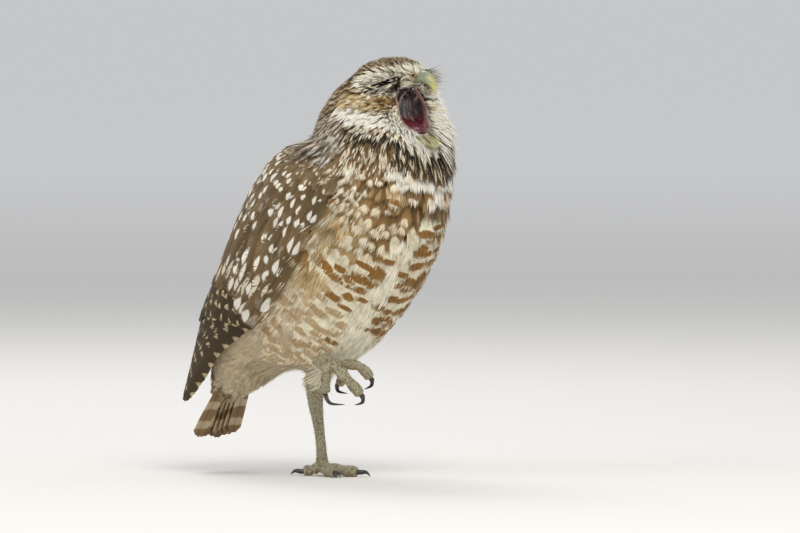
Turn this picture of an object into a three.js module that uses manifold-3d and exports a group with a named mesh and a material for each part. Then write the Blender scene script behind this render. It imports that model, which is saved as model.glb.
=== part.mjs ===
// A life-size burrowing owl, yawning, that stands on its left leg with its right foot drawn up.
// Millimetres, +X forward, +Y to the bird's left, +Z up. The origin is on the floor, on the flat
// under the ball of the standing foot.
import * as THREE from "three";
import { mergeVertices } from "three/addons/utils/BufferGeometryUtils.js";
import Module from "manifold-3d";

const wasm = await Module();
wasm.setup();

// Driving dimensions
const GAP = 0.3; // clearance kept between neighbouring sub-parts
const VANE_THICK = 0.55; // thickness of a feather vane
const FLOOR_SINK = 0.6; // how far pads and claws are flattened where they rest

// The trunk is a loft along a leaning spine, from the vent to the base of the neck. Each station
// gives the spine's point (x, z), its lean from the vertical in degrees, and the half depth from
// spine to back and half width from spine to side of the plumage.
const TRUNK = [
  { x: -74, z: 31, lean: 36, depth: 5, width: 10 },
  { x: -60, z: 50, lean: 39, depth: 14.5, width: 18.5 },
  { x: -45, z: 70.5, lean: 41, depth: 23.5, width: 29.5 },
  { x: -18.5, z: 88.2, lean: 41, depth: 42.5, width: 41.5 },
  { x: 3.5, z: 114.2, lean: 39, depth: 50, width: 45.5 },
  { x: 22.5, z: 140, lean: 34, depth: 50, width: 45 },
  { x: 36.5, z: 159, lean: 22, depth: 42.5, width: 39 },
  { x: 45, z: 173, lean: 5, depth: 33, width: 32 },
  { x: 47, z: 182, lean: 0, depth: 20, width: 20 },
];

// The neck and head are a stack of level sections, upwards from the base of the neck. Each has its
// height z, the place x of its widest point, its half width there, its reach back and forward, and
// how square its front half is (2 is an ellipse).
const POLL = [
  { z: 147, x: 40, back: 40, front: 25, width: 33, square: 2.2 },
  { z: 160, x: 42, back: 47, front: 30, width: 36, square: 2.3 },
  { z: 173, x: 44, back: 50, front: 29, width: 37.5, square: 2.6 },
  { z: 178, x: 46, back: 46.5, front: 25.5, width: 36, square: 3 },
  { z: 184, x: 47, back: 44, front: 21.5, width: 35.5, square: 3.2 },
  { z: 190, x: 47, back: 41.5, front: 17, width: 34.5, square: 3.2 },
  { z: 196, x: 47, back: 38, front: 15.5, width: 33, square: 3.1 },
  { z: 201, x: 46, back: 32.5, front: 14.5, width: 31.5, square: 3 },
  { z: 206, x: 45, back: 25.5, front: 14, width: 30, square: 2.7 },
  { z: 210.5, x: 44.5, back: 17, front: 14.5, width: 28, square: 2.5 },
  { z: 214, x: 45, back: 11.5, front: 15, width: 25.5, square: 2.2 },
  { z: 219, x: 46.5, back: 9.5, front: 11, width: 19.5, square: 2 },
  { z: 222.3, x: 48.5, back: 4, front: 5, width: 9, square: 2 },
];

// The folded wing lies on the trunk and then runs on, straight, past the rump to its tip.
const WING_TIP_FORM = [
  { x: -83, z: 33, lean: 45, depth: 5, width: 13 },
  { x: -65.5, z: 50.5, lean: 45, depth: 16, width: 22 },
  { x: -44.5, z: 70.5, lean: 44, depth: 28.5, width: 33 },
];
const WING_FORM = [...WING_TIP_FORM, ...TRUNK.slice(3, 8)];
// The plate that carries the wing's feathers, in stations of its form and degrees off the midline.
const WING_CORE = { from: 1.3, to: 6.2, top: 8, edge: 102, thick: 1.3, clear: 0.9, sunk: -1 };
// Feather tiers of a wing from the lowest to the uppermost. Roots and tips are given for the first
// and last feather as [station, degrees off the midline]; lifts are heights over the form.
const WING_TIERS = [
  { count: 5, root: [[3.5, 101], [3.6, 74]], tip: [[1.0, 86], [1.6, 38]], reach: 0.9, width: 8.5, lift: 1.8 },
  { count: 5, root: [[4.4, 99], [4.6, 56]], tip: [[2.7, 95], [1.9, 46]], reach: 0, width: 10.5, lift: 3.5 },
  { count: 3, root: [[4.8, 44], [4.9, 14]], tip: [[1.9, 38], [1.6, 13]], reach: 0, width: 12, lift: 3.5 },
  { count: 6, root: [[5.1, 98], [5.2, 44]], tip: [[3.7, 98], [3.1, 42]], reach: 0, width: 11.3, lift: 5.2 },
  { count: 3, root: [[5.8, 30], [6.0, 9]], tip: [[3.6, 32], [3.5, 9]], reach: 0, width: 10.5, lift: 5.2 },
  { count: 5, root: [[5.9, 94], [6.1, 46]], tip: [[4.6, 97], [4.3, 44]], reach: 0, width: 12, lift: 5.8 },
];

// The tail's feathers, six a side, spread from the rump in a narrow fan.
const TAIL = { x: -52.5, z: 68, lean: 30.4, length: 57, pairs: 6, spread: 2.6, step: 0.95, width: 10.5 };

// Planes that part the body, each by a point (x, z) and its slope from the level in degrees.
const NECK_BASE = { x: 22, z: 153, slope: -10 };
const HEAD_BASE = { x: 40, z: 177.5, slope: -10 };
const HEEL = { x: 0, z: 46, slope: 0 };
const ANKLE = { x: 0, z: 10.5, slope: 0 };
const TAIL_BASE = { x: -56, z: 56, slope: -39 };

// Mouth, bill, tongue and lids
const GAPE = { x: 60, z: 194, deep: 14, wide: 11.5, high: 12.6 };
const BILL_RIM = 0.6; // how far the bill's halves stand proud inside the mouth
const EYE = { x: 53.8, y: 16.8, z: 208.6, deep: 5.4, wide: 9.7, high: 8.8, pitch: 20, yaw: 41 };
const SLIT = [[47, 22.8, 203.8], [56.4, 22.6, 209], [60.4, 13, 212]]; // of the left eye

// Legs: the standing one is on the floor under the body's weight, the other is drawn up.
const CLAW = { length: 9.5, radii: [1.5, 1.35, 1.15, 0.8, 0.3] };
const STANDING = {
  ball: { centre: [0, 0, 4.6], size: [5.6, 5.2, 5], pitch: 0 },
  // heading, length and radius of each toe on the floor: inner, middle, outer and hind
  toes: [[-28, 17, 2.9], [12, 21, 3], [100, 15, 2.8], [-160, 10, 2.8]],
  tibia: [[0, 7, 76], [-4, 3, 62], [-5, 0, 43]],
  tarsus: [[-5, 0, 49], [-4.4, 0, 38], [-1.8, 0, 24], [-0.2, 0, 12], [0, 0, 5]],
};
const RAISED = {
  ball: { centre: [19.7, -20, 60.4], size: [6.6, 4.8, 4.4], pitch: -25 },
  tarsus: [[4, -16, 68], [12, -18.5, 64], [18, -20, 61.5]],
  // each half-closed toe after the ball, its radius, and its claw: the near and far front toes,
  // then the two that hang under them
  toes: [
    { path: [[30, -18, 54], [36.5, -13, 44.5]], radius: 2.9, claw: [[37.4, -13.2, 40.6], [33.4, -14.6, 39.2]] },
    { path: [[30, -9, 60], [34.5, -2.5, 53]], radius: 2.8, claw: [[35, -2.4, 49], [31.4, -3.8, 47]] },
    { path: [[19.5, -21.5, 51.5], [18, -19.8, 45.5]], radius: 2.7, claw: [[21.6, -20, 40], [31, -19.5, 39.6]] },
    { path: [[25.5, -13.5, 55], [20.8, -12, 50]], radius: 2.6, claw: [[20.6, -12, 46], [27, -12, 45]] },
  ],
};

const rad = THREE.MathUtils.degToRad;
const lerp = THREE.MathUtils.lerp;
const vec = (x, y, z) => new THREE.Vector3(x, y, z);

// Catmull-Rom interpolation of the named value of a list of stations at s, counted in stations.
function along(stations, key, s) {
  const last = stations.length - 1;
  const i = Math.min(Math.max(Math.floor(s), 0), last - 1);
  const t = s - i;
  const [a, b, c, d] = [i - 1, i, i + 1, i + 2].map((k) => stations[Math.min(Math.max(k, 0), last)][key]);
  return 0.5 * (2 * b + (c - a) * t + (2 * a - 5 * b + 4 * c - d) * t * t + (3 * b - a - 3 * c + d) * t ** 3);
}

// A point of a leaning loft and its outward normal. psi runs from the back (0) over the bird's
// left side (90) to the belly (180), in degrees, and lift is the height over the loft.
function loftPoint(stations, s, psi, lift = 0) {
  const [x, z, lean, depth, width] = ["x", "z", "lean", "depth", "width"].map((k) => along(stations, k, s));
  const back = vec(-Math.cos(rad(lean)), 0, Math.sin(rad(lean)));
  const [c, n] = [Math.cos(rad(psi)), Math.sin(rad(psi))];
  const normal = back.clone().multiplyScalar(c / depth).add(vec(0, n / width, 0)).normalize();
  const point = vec(x, 0, z).addScaledVector(back, depth * c).add(vec(0, width * n, 0));
  return { point: point.addScaledVector(normal, lift), normal };
}

// A point of the level stack. phi runs from the front (0) to the bird's left (90), in degrees.
function pollPoint(s, phi, lift = 0) {
  const at = (key) => along(POLL, key, s);
  const [c, n] = [Math.cos(rad(phi)), Math.sin(rad(phi))];
  const power = c > 0 ? at("square") : 2;
  const scale = (Math.abs(c) ** power + Math.abs(n) ** power) ** (-1 / power);
  const reach = (c > 0 ? at("front") : at("back")) + lift;
  return vec(at("x") + reach * c * scale, (at("width") + lift) * n * scale, at("z"));
}

// A closed mesh from rings of equal length, capped by a point at each end.
function skinRings(rings) {
  const count = rings[0].length;
  const middle = (ring) => ring.reduce((sum, p) => sum.add(p), vec(0, 0, 0)).divideScalar(count);
  const points = [...rings.flat(), middle(rings[0]), middle(rings[rings.length - 1])];
  const [first, last] = [points.length - 2, points.length - 1];
  const faces = [];
  for (let j = 0; j < count; j++) {
    const k = (j + 1) % count;
    faces.push(first, k, j);
    for (let i = 0; i + 1 < rings.length; i++) {
      const [a, b] = [i * count, (i + 1) * count];
      faces.push(a + j, a + k, b + k, a + j, b + k, b + j);
    }
    faces.push(last, (rings.length - 1) * count + j, (rings.length - 1) * count + k);
  }
  const geometry = new THREE.BufferGeometry().setFromPoints(points);
  geometry.setIndex(faces);
  return geometry;
}

// A closed sheet between two grids of points of the same size, split alike on both faces.
function skinSheet(over, under) {
  const [rows, cols] = [over.length, over[0].length];
  const points = [...over.flat(), ...under.flat()];
  const low = rows * cols;
  const faces = [];
  const quad = (a, b, c, d) => faces.push(a, b, c, a, c, d);
  for (let i = 0; i + 1 < rows; i++) {
    for (let j = 0; j + 1 < cols; j++) {
      const [a, b, c, d] = [i * cols + j, i * cols + j + 1, (i + 1) * cols + j + 1, (i + 1) * cols + j];
      quad(a, b, c, d);
      faces.push(low + a, low + c, low + b, low + a, low + d, low + c);
    }
    const [l, r] = [i * cols, i * cols + cols - 1];
    quad(l, l + cols, low + l + cols, low + l);
    quad(r + cols, r, low + r, low + r + cols);
  }
  for (let j = 0; j + 1 < cols; j++) {
    const end = (rows - 1) * cols + j;
    quad(j + 1, j, low + j, low + j + 1);
    quad(end, end + 1, low + end + 1, low + end);
  }
  const geometry = new THREE.BufferGeometry().setFromPoints(points);
  geometry.setIndex(faces);
  return geometry;
}

// A three.js geometry as a solid, turned the right way out.
function solid(geometry) {
  const bare = geometry.clone();
  for (const name of ["normal", "uv"]) bare.deleteAttribute(name);
  const merged = mergeVertices(bare, 1e-4);
  const triVerts = new Uint32Array(merged.index.array);
  const vertProperties = merged.attributes.position.array;
  const made = new wasm.Manifold(new wasm.Mesh({ numProp: 3, vertProperties, triVerts }));
  if (made.volume() > 0) return made;
  for (let i = 0; i < triVerts.length; i += 3) [triVerts[i], triVerts[i + 1]] = [triVerts[i + 1], triVerts[i]];
  return new wasm.Manifold(new wasm.Mesh({ numProp: 3, vertProperties, triVerts }));
}

const join = (solids) => solids.reduce((whole, piece) => whole.add(piece));
const largest = (made) => made.decompose().sort((a, b) => b.volume() - a.volume())[0];

// An ellipsoid with half sizes along its own x, y and z, pitched up about the side axis.
function ellipsoid(centre, sizes, pitch = 0, yaw = 0, segments = 20) {
  const ball = new THREE.SphereGeometry(1, segments, Math.round(segments / 2)).scale(...sizes);
  return solid(ball.rotateY(-rad(pitch)).rotateZ(rad(yaw)).translate(centre.x, centre.y, centre.z));
}

// The axis that a curve runs along least, so that rings set by it never turn over.
function steadyAxis(curve, steps) {
  const tangents = Array.from({ length: steps + 1 }, (_, i) => curve.getTangent(i / steps));
  const axes = [vec(0, 1, 0), vec(1, 0, 0), vec(0, 0, 1)];
  const worst = axes.map((axis) => Math.max(...tangents.map((ahead) => Math.abs(ahead.dot(axis)))));
  return axes[worst.indexOf(Math.min(...worst))];
}

// A limb through points with a radius at each, flat times as wide as it is high.
function limb(points, radii, { sides = 10, steps = 8, flat = 1 } = {}) {
  const curve = new THREE.CatmullRomCurve3(points, false, "centripetal");
  const axis = steadyAxis(curve, steps);
  const rings = [];
  for (let i = 0; i <= steps; i++) {
    const t = i / steps;
    const centre = curve.getPoint(t);
    const ahead = curve.getTangent(t);
    const across = axis.clone().addScaledVector(ahead, -axis.dot(ahead)).normalize();
    const up = ahead.clone().cross(across).normalize();
    const at = t * (radii.length - 1);
    const k = Math.min(Math.floor(at), radii.length - 2);
    const radius = lerp(radii[k], radii[k + 1], at - k);
    const ring = [];
    for (let j = 0; j < sides; j++) {
      const a = ((j + 0.5) / sides) * 2 * Math.PI;
      const spoke = across.clone().multiplyScalar(radius * flat * Math.cos(a));
      ring.push(centre.clone().add(spoke).addScaledVector(up, radius * Math.sin(a)));
    }
    rings.push(ring);
  }
  return solid(skinRings(rings));
}

// The half of space on the upper side of a sloping plane, shifted along its normal.
function above({ x, z, slope }, shift = 0) {
  const size = 500;
  const box = new THREE.BoxGeometry(size, size, size).translate(0, 0, size / 2 + shift);
  return solid(box.rotateY(-rad(slope)).translate(x, 0, z));
}

// The half of space on one side of the midplane, past half the gap on the other side.
function halfOf(side) {
  const size = 500;
  return solid(new THREE.BoxGeometry(size, size, size).translate(0, (side * (size - GAP)) / 2, 0));
}

const points = (list) => list.map((p) => vec(...p));

// Body
function trunkSolid(lift = 0, around = 28, steps = 20) {
  const rings = [];
  for (let i = 0; i <= steps; i++) {
    const s = (i / steps) * (TRUNK.length - 1);
    const ring = [];
    for (let j = 0; j < around; j++) ring.push(loftPoint(TRUNK, s, (j / around) * 360, lift).point);
    rings.push(ring);
  }
  return solid(skinRings(rings));
}

function pollSolid(lift = 0, around = 28, steps = 20) {
  const rings = [];
  for (let i = 0; i <= steps; i++) {
    const s = (i / steps) * (POLL.length - 1);
    const ring = [];
    for (let j = 0; j < around; j++) ring.push(pollPoint(s, (j / around) * 360, lift));
    rings.push(ring);
  }
  return solid(skinRings(rings));
}

const bodySolid = (lift = 0) => join([trunkSolid(lift), pollSolid(lift)]);

// Wing feathers
// A vane on a form, from its root to its tip, given as [station, degrees]; side is -1 for the
// bird's right. It is widest past its middle, rounded at the tip, and tilted like a shingle.
function vane(form, side, root, tip, width, lifts, tilt) {
  const [over, under] = [[], []];
  const rows = 4;
  for (let i = 0; i < rows; i++) {
    const t = [0, 0.45, 0.85, 1][i];
    const s = lerp(root[0], tip[0], t);
    const psi = lerp(root[1], tip[1], t);
    const half = (width / 2) * [0.6, 1, 0.9, 0.36][i];
    const step = loftPoint(form, s, psi + 1).point.distanceTo(loftPoint(form, s, psi - 1).point) / 2;
    const lift = t < 0.4 ? lerp(lifts[0], lifts[1], t / 0.4) : lerp(lifts[1], lifts[2], (t - 0.4) / 0.6);
    const [high, low] = [[], []];
    for (const c of [-1, 0, 1]) {
      const camber = -0.2 * c * c + tilt * c * Math.min(1, 2 * t);
      const { point, normal } = loftPoint(form, s, side * (psi + (c * half) / step), lift + camber);
      high.push(point.clone().addScaledVector(normal, VANE_THICK / 2));
      low.push(point.clone().addScaledVector(normal, -VANE_THICK / 2));
    }
    over.push(high);
    under.push(low);
  }
  return solid(skinSheet(over, under));
}

// The plate under a wing's feathers. It lies on the trunk and sinks past the rump, and is thick in
// its middle and thin along its edges.
function wingCore(side) {
  const { from, to, top, edge, thick, clear, sunk } = WING_CORE;
  const [over, under] = [[], []];
  const [rows, cols] = [9, 7];
  const swell = (t) => Math.sqrt(Math.sin(Math.PI * lerp(0.06, 0.94, t)));
  for (let i = 0; i <= rows; i++) {
    const s = lerp(from, to, i / rows);
    const [high, low] = [[], []];
    const narrow = 1 - Math.min(1, Math.max(0, (2.6 - s) / 1.3)) * 0.55;
    const middle = (top + edge) / 2 - 12 * (1 - narrow);
    const rest = lerp(sunk, clear, Math.min(1, Math.max(0, (s - 2.4) / 0.6)));
    for (let j = 0; j <= cols; j++) {
      const psi = side * (middle + (edge - top) * narrow * (j / cols - 0.5));
      const depth = thick * (0.36 + 0.64 * swell(i / rows) * swell(j / cols));
      high.push(loftPoint(WING_FORM, s, psi, rest + depth).point);
      low.push(loftPoint(WING_FORM, s, psi, rest).point);
    }
    over.push(high);
    under.push(low);
  }
  return solid(skinSheet(over, under));
}

function wing(side) {
  const pieces = [wingCore(side)];
  WING_TIERS.forEach(({ count, root, tip, reach, width, lift }) => {
    for (let k = 0; k < count; k++) {
      const t = count > 1 ? k / (count - 1) : 0;
      const from = [lerp(root[0][0], root[1][0], t), lerp(root[0][1], root[1][1], t)];
      const to = [lerp(tip[0][0], tip[1][0], t), lerp(tip[0][1], tip[1][1], t)];
      to[0] -= reach * Math.sin(Math.PI * Math.min(1, t * 1.1 + 0.12));
      pieces.push(vane(WING_FORM, side, from, to, width, [1.3, lift - 0.4, lift], -0.6));
    }
  });
  return join(pieces);
}

// Tail feathers
function rectrix(side, k) {
  const down = vec(-Math.sin(rad(TAIL.lean)), 0, -Math.cos(rad(TAIL.lean)));
  const dorsal = vec(-Math.cos(rad(TAIL.lean)), 0, Math.sin(rad(TAIL.lean)));
  const [over, under] = [[], []];
  const rows = 5;
  for (let i = 0; i < rows; i++) {
    const t = i / (rows - 1);
    const half = (TAIL.width / 2) * [0.55, 0.8, 0.98, 1, 0.7][i];
    const y = side * lerp(1 + 0.9 * k, 1.6 + TAIL.spread * k, t);
    const centre = vec(TAIL.x, y, TAIL.z).addScaledVector(down, (TAIL.length - 0.5 * k) * t);
    centre.addScaledVector(dorsal, -TAIL.step * k - (side > 0 ? 0.45 : 0) - 2.4 * t * t + 1.2);
    const [high, low] = [[], []];
    for (const c of [-1, 0, 1]) {
      const place = centre.clone().add(vec(0, c * half, 0)).addScaledVector(dorsal, -0.5 * c * c);
      high.push(place.clone().addScaledVector(dorsal, VANE_THICK / 2));
      low.push(place.clone().addScaledVector(dorsal, -VANE_THICK / 2));
    }
    over.push(high);
    under.push(low);
  }
  return solid(skinSheet(over, under));
}

function tailFeathers() {
  const feathers = [];
  for (const side of [-1, 1]) {
    for (let k = 0; k < TAIL.pairs; k++) feathers.push(rectrix(side, k));
  }
  return feathers;
}

// Head
const mouth = (grow = 0) =>
  ellipsoid(vec(GAPE.x, 0, GAPE.z), [GAPE.deep + grow, GAPE.wide + grow, GAPE.high + grow], 4, 0, 16);
const lidSolid = (side, grow = 0) => {
  const size = [EYE.deep + grow, EYE.wide + grow, EYE.high + grow];
  return ellipsoid(vec(EYE.x, side * EYE.y, EYE.z), size, EYE.pitch, side * EYE.yaw, 12);
};
const upperBill = (grow = 0) =>
  limb(
    points([[57.5, 0, 209.5], [66, 0, 210.7], [72.8, 0, 209.7], [76, 0, 203.6]]),
    [5, 4.6, 3.4, 0.5].map((r) => r + grow),
    { sides: 10, steps: 9, flat: 1.15 },
  );
const lowerBill = (grow = 0) =>
  limb(
    points([[58, 0, 186], [66, 0, 182], [72, 0, 178.2], [76, 0, 174.6]]),
    [4.4, 4.2, 3.2, 0.6].map((r) => r + grow),
    { sides: 12, steps: 8, flat: 2.2 },
  );

function tongueSolid() {
  const path = points([[50, 0, 187.5], [58, 0, 185.5], [64, 0, 184.2], [68.5, 0, 184.5]]);
  const flesh = limb(path, [4.6, 4.4, 3.6, 1.4], { sides: 10, steps: 8, flat: 1.35 });
  return flesh.intersect(mouth(-BILL_RIM - GAP));
}

function headSolid(whole) {
  const brows = [-1, 1].map((side) =>
    limb(
      [vec(64, side * 5, 212), vec(58, side * 13, 214.5), vec(47, side * 19.5, 213.5), vec(36, side * 22, 207)],
      [1.6, 2.6, 2.4, 1],
      { sides: 5, steps: 5 },
    ),
  );
  const ruffs = [-1, 1].map((side) =>
    limb(
      [vec(38, side * 29, 208), vec(50, side * 32.5, 199), vec(60, side * 31, 187), vec(69, side * 16, 177.5)],
      [0.8, 1.8, 2, 1],
      { sides: 5, steps: 6 },
    ),
  );
  const cere = ellipsoid(vec(59, 0, 211), [8.5, 8.5, 6.5], 10, 0, 12);
  const chin = ellipsoid(vec(64, 0, 175.5), [9, 15, 5], 10, 0, 12);
  const fleshed = join([whole, ...brows, ...ruffs, cere, chin]).intersect(above(HEAD_BASE, GAP));
  const nostrils = [-1, 1].map((side) => ellipsoid(vec(65.6, side * 4.8, 212.5), [1.7, 1.2, 1.1], 0, 0, 8));
  const sockets = [lidSolid(-1, GAP), lidSolid(1, GAP), mouth(), upperBill(GAP), lowerBill(GAP), ...nostrils];
  return fleshed.subtract(join(sockets));
}

function lids(side) {
  const slit = SLIT.map(([x, y, z]) => vec(x, side * y, z));
  return lidSolid(side).subtract(limb(slit, [0.7, 0.9, 0.7], { sides: 6, steps: 6 }));
}

// Legs and feet
// A toe is a limb with a swelling for each pad.
function toe(path, radius) {
  const pads = [1, 0.85, 1.05, 0.82, 1.02].map((swell) => radius * swell);
  return limb(path, pads, { sides: 8, steps: 6 });
}

// A claw starts past the gap beyond the toe's end, in line with it, and curves on to its tip.
function claw(path, bend) {
  const [before, end] = path.slice(-2);
  const ahead = end.clone().sub(before).normalize();
  const root = [GAP, CLAW.radii[0]].map((far) => end.clone().addScaledVector(ahead, far));
  return limb([...root, ...bend], CLAW.radii, { sides: 6, steps: 6 });
}

function foot(ball, toes) {
  const centre = vec(...ball.centre);
  const paths = toes.map(({ path }) => [centre, ...points(path)]);
  const fleshed = toes.map(({ radius }, i) => toe(paths[i], radius));
  return {
    flesh: join([ellipsoid(centre, ball.size, ball.pitch, 0, 12), ...fleshed]),
    claws: toes.map((t, i) => claw(paths[i], points(t.claw))),
  };
}

// A toe laid on the floor: heading in degrees from forward to the left.
function toeOnFloor([heading, length, radius]) {
  const out = (far, up) => [Math.cos(rad(heading)) * far, Math.sin(rad(heading)) * far, up];
  const path = [out(length * 0.55, radius * 1.12), out(length, radius - FLOOR_SINK * 0.6)];
  const hook = [out(length + CLAW.length * 0.55, radius * 0.8), out(length + CLAW.length * 0.8, 0.2)];
  return { path, radius, claw: hook };
}

const group = new THREE.Group();
function place(name, made, colour, roughness = 0.8) {
  const mesh = largest(made).getMesh();
  const geometry = new THREE.BufferGeometry();
  const points = new Float32Array(mesh.numVert * 3);
  for (let i = 0; i < mesh.numVert; i++) {
    points.set(mesh.vertProperties.subarray(i * mesh.numProp, i * mesh.numProp + 3), i * 3);
  }
  geometry.setAttribute("position", new THREE.BufferAttribute(points, 3));
  geometry.setIndex(new THREE.BufferAttribute(mesh.triVerts, 1));
  const material = new THREE.MeshStandardMaterial({ color: colour, roughness });
  const piece = new THREE.Mesh(geometry, material);
  piece.name = name;
  group.add(piece);
}

const whole = bodySolid();
const clear = bodySolid(GAP);
const torso = whole.subtract(above(NECK_BASE)).intersect(above(TAIL_BASE));
const neck = whole.intersect(above(NECK_BASE, GAP)).subtract(above(HEAD_BASE));
const head = headSolid(whole.intersect(above(HEAD_BASE, GAP)));
const rump = whole.subtract(above(TAIL_BASE, -GAP));
place("torso", torso, 0xcfc0a0);
place("neck", neck, 0x9a7d58);
place("head", head, 0xb59a78);
const tail = join([rump, ...tailFeathers()]).subtract(torso.add(above(TAIL_BASE, -GAP)));
place("tail", tail, 0x8a6f52);
for (const [name, side] of [["right", -1], ["left", 1]]) {
  place(`wing_${name}`, wing(side).subtract(clear.add(halfOf(-side))), 0x5f4733);
  place(`eyelid_${name}`, lids(side), 0xb8a890);
}
place("beak_upper", upperBill().subtract(mouth(-BILL_RIM)), 0xb9b98a, 0.45);
place("beak_lower", lowerBill().subtract(mouth(-BILL_RIM)), 0xb9b98a, 0.45);
place("tongue", tongueSolid(), 0x6e2630, 0.4);

// The standing leg
const floorCut = solid(new THREE.BoxGeometry(200, 200, 50).translate(0, 0, -25));
const standing = foot(STANDING.ball, STANDING.toes.map(toeOnFloor));
const tarsus = limb(points(STANDING.tarsus), [4.9, 4.3, 3.3, 3.2, 3.4], { sides: 10, steps: 9 });
const tibia = limb(points(STANDING.tibia), [8, 6, 5.3], { sides: 12 });
place("thigh_left", tibia.intersect(above(HEEL, GAP)).subtract(clear), 0xc9b08a);
place("tarsus_left", tarsus.intersect(above(ANKLE, GAP)).subtract(above(HEEL)), 0xb9b0a0);
const sole = join([standing.flesh, tarsus.subtract(above(ANKLE))]).subtract(floorCut);
place("foot_left", sole, 0x77705a);
standing.claws.forEach((made, i) => place(`claw_left_${i + 1}`, made.subtract(floorCut), 0x1c1a18, 0.35));

// The drawn-up leg
const raised = foot(RAISED.ball, RAISED.toes);
const shank = limb(points(RAISED.tarsus), [5, 4.4, 4], { sides: 12, steps: 6 });
place("foot_right", join([raised.flesh, shank]).subtract(clear), 0x77705a);
raised.claws.forEach((made, i) => place(`claw_right_${i + 1}`, made, 0x1c1a18, 0.35));

export default group;
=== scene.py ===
"""A still, life-size burrowing owl that stands on its left leg, yawns and holds its right foot up.

Every surface is worked out with numpy, as a function of two parameters on a grid or as a profile
carried along a path. Sizes are in millimetres in the owl's own frame, with x the way it faces, y to
its left and z up. They become metres as a mesh is made.
"""

from __future__ import annotations

import logging
from dataclasses import dataclass, field
from enum import Enum
from functools import partialmethod

import bpy
import numpy as np
from mathutils import Matrix, Vector

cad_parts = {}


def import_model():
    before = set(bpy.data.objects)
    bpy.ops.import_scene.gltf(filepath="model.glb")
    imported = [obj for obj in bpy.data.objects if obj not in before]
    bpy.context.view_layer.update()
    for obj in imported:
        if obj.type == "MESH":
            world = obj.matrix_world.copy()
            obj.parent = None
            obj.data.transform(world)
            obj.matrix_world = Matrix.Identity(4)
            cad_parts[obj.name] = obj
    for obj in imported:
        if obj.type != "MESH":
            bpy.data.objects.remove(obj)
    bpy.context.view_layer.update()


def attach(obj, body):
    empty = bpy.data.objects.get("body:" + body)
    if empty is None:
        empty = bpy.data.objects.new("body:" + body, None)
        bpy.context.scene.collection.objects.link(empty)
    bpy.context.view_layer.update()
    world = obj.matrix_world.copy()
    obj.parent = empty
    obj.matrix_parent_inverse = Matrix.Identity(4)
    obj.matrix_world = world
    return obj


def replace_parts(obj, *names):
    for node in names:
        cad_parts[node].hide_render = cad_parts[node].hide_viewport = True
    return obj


Array = np.ndarray
Triple = tuple[float, float, float]
Material = bpy.types.Material
Socket = bpy.types.NodeSocket
MM = 0.001
BAKE_PATCH = 0.003
SIDES = (("left", 1), ("right", -1))

log = logging.getLogger("owl")

# Trunk stations from vent to neck: spine x, spine z, lean, half depth, half width.
TRUNK = (
    (-67, 40, 38, 5, 9),
    (-58, 52.5, 39, 13.5, 17.5),
    (-45, 70.5, 41, 23.5, 29.5),
    (-18.5, 88.2, 41, 42.5, 41.5),
    (3.5, 114.2, 39, 50, 45.5),
    (22.5, 140, 34, 50, 45),
    (36.5, 159, 22, 42.5, 39),
    (45, 173, 5, 33, 32),
    (47, 182, 0, 20, 20),
)
# Level sections of neck and head, upwards: z, x, reach back, reach forward, half width, squareness.
POLL = (
    (147, 40, 40, 25, 33, 2.2),
    (160, 42, 47, 30, 36, 2.3),
    (173, 44, 50, 29, 37.5, 2.6),
    (178, 46, 46.5, 25.5, 36, 3),
    (184, 47, 44, 21.5, 35.5, 3.2),
    (190, 47, 41.5, 17, 34.5, 3.2),
    (196, 47, 38, 15.5, 33, 3.1),
    (201, 46, 32.5, 14.5, 31.5, 3),
    (206, 45, 25.5, 14, 30, 2.7),
    (210.5, 44.5, 17, 14.5, 28, 2.5),
    (214, 45, 11.5, 15, 25.5, 2.2),
    (219, 46.5, 9.5, 11, 19.5, 2),
    (222.3, 48.5, 4, 5, 9, 2),
)
# The folded wing lies on the trunk and then runs on past the rump to its tip.
WING_FORM = (
    (-83, 33, 45, 5, 13),
    (-65.5, 50.5, 45, 16, 22),
    (-44.5, 70.5, 44, 28.5, 33),
) + TRUNK[3:8]


def unit(vectors: Array) -> Array:
    """Vectors scaled to length one."""
    return vectors / np.maximum(np.linalg.norm(vectors, axis=-1, keepdims=True), 1e-9)


def beside(*values: Array | float) -> Array:
    """Values side by side, spread to one shape, along a last axis."""
    return np.stack(np.broadcast_arrays(*values), -1)


def listed(*parts: Array) -> Array:
    """The rows of several arrays, one after another."""
    return np.concatenate([part.reshape(-1, part.shape[-1]) for part in parts])


def angles(count: int) -> Array:
    """Evenly spaced angles once round."""
    return np.arange(count) / count * 2 * np.pi


def pitched(x: Array, z: Array, degrees: float) -> tuple[Array, Array]:
    """Two numbers of places in axes that are turned by some degrees from the first to the second."""
    a = np.radians(degrees)
    return x * np.cos(a) + z * np.sin(a), -x * np.sin(a) + z * np.cos(a)


def leaning(degrees: Array | float) -> tuple[Array, Array]:
    """Unit vectors to the back of sections that lean by some degrees, and ahead along them."""
    a = np.radians(degrees)
    return beside(-np.cos(a), 0, np.sin(a)), beside(np.sin(a), 0, np.cos(a))


def between(value: Array, low: float, high: float) -> Array:
    """Which values lie from low to high."""
    return (value >= low) & (value < high)


def smooth(low: float, high: float, value: Array) -> Array:
    """An s-curve from 0 at low to 1 at high."""
    t = np.clip((value - low) / (high - low), 0, 1)
    return t * t * (3 - 2 * t)


def catmull(rows: Array, s: Array) -> Array:
    """Catmull-Rom interpolation of rows of values.

    Args:
        rows: one row of values for each station.
        s: where to read them, counted in stations.

    Returns:
        One row of values for each s: the cubic through the four stations round it.
    """
    rows = np.asarray(rows, float)
    last = len(rows) - 1
    i = np.clip(np.floor(s).astype(int), 0, last - 1)
    t = (s - i)[..., None]
    a, b, c, d = (rows[np.clip(i + k, 0, last)] for k in (-1, 0, 1, 2))
    return 0.5 * (
        2 * b + (c - a) * t + (2 * a - 5 * b + 4 * c - d) * t**2 + (3 * b - a - 3 * c + d) * t**3
    )


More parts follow.
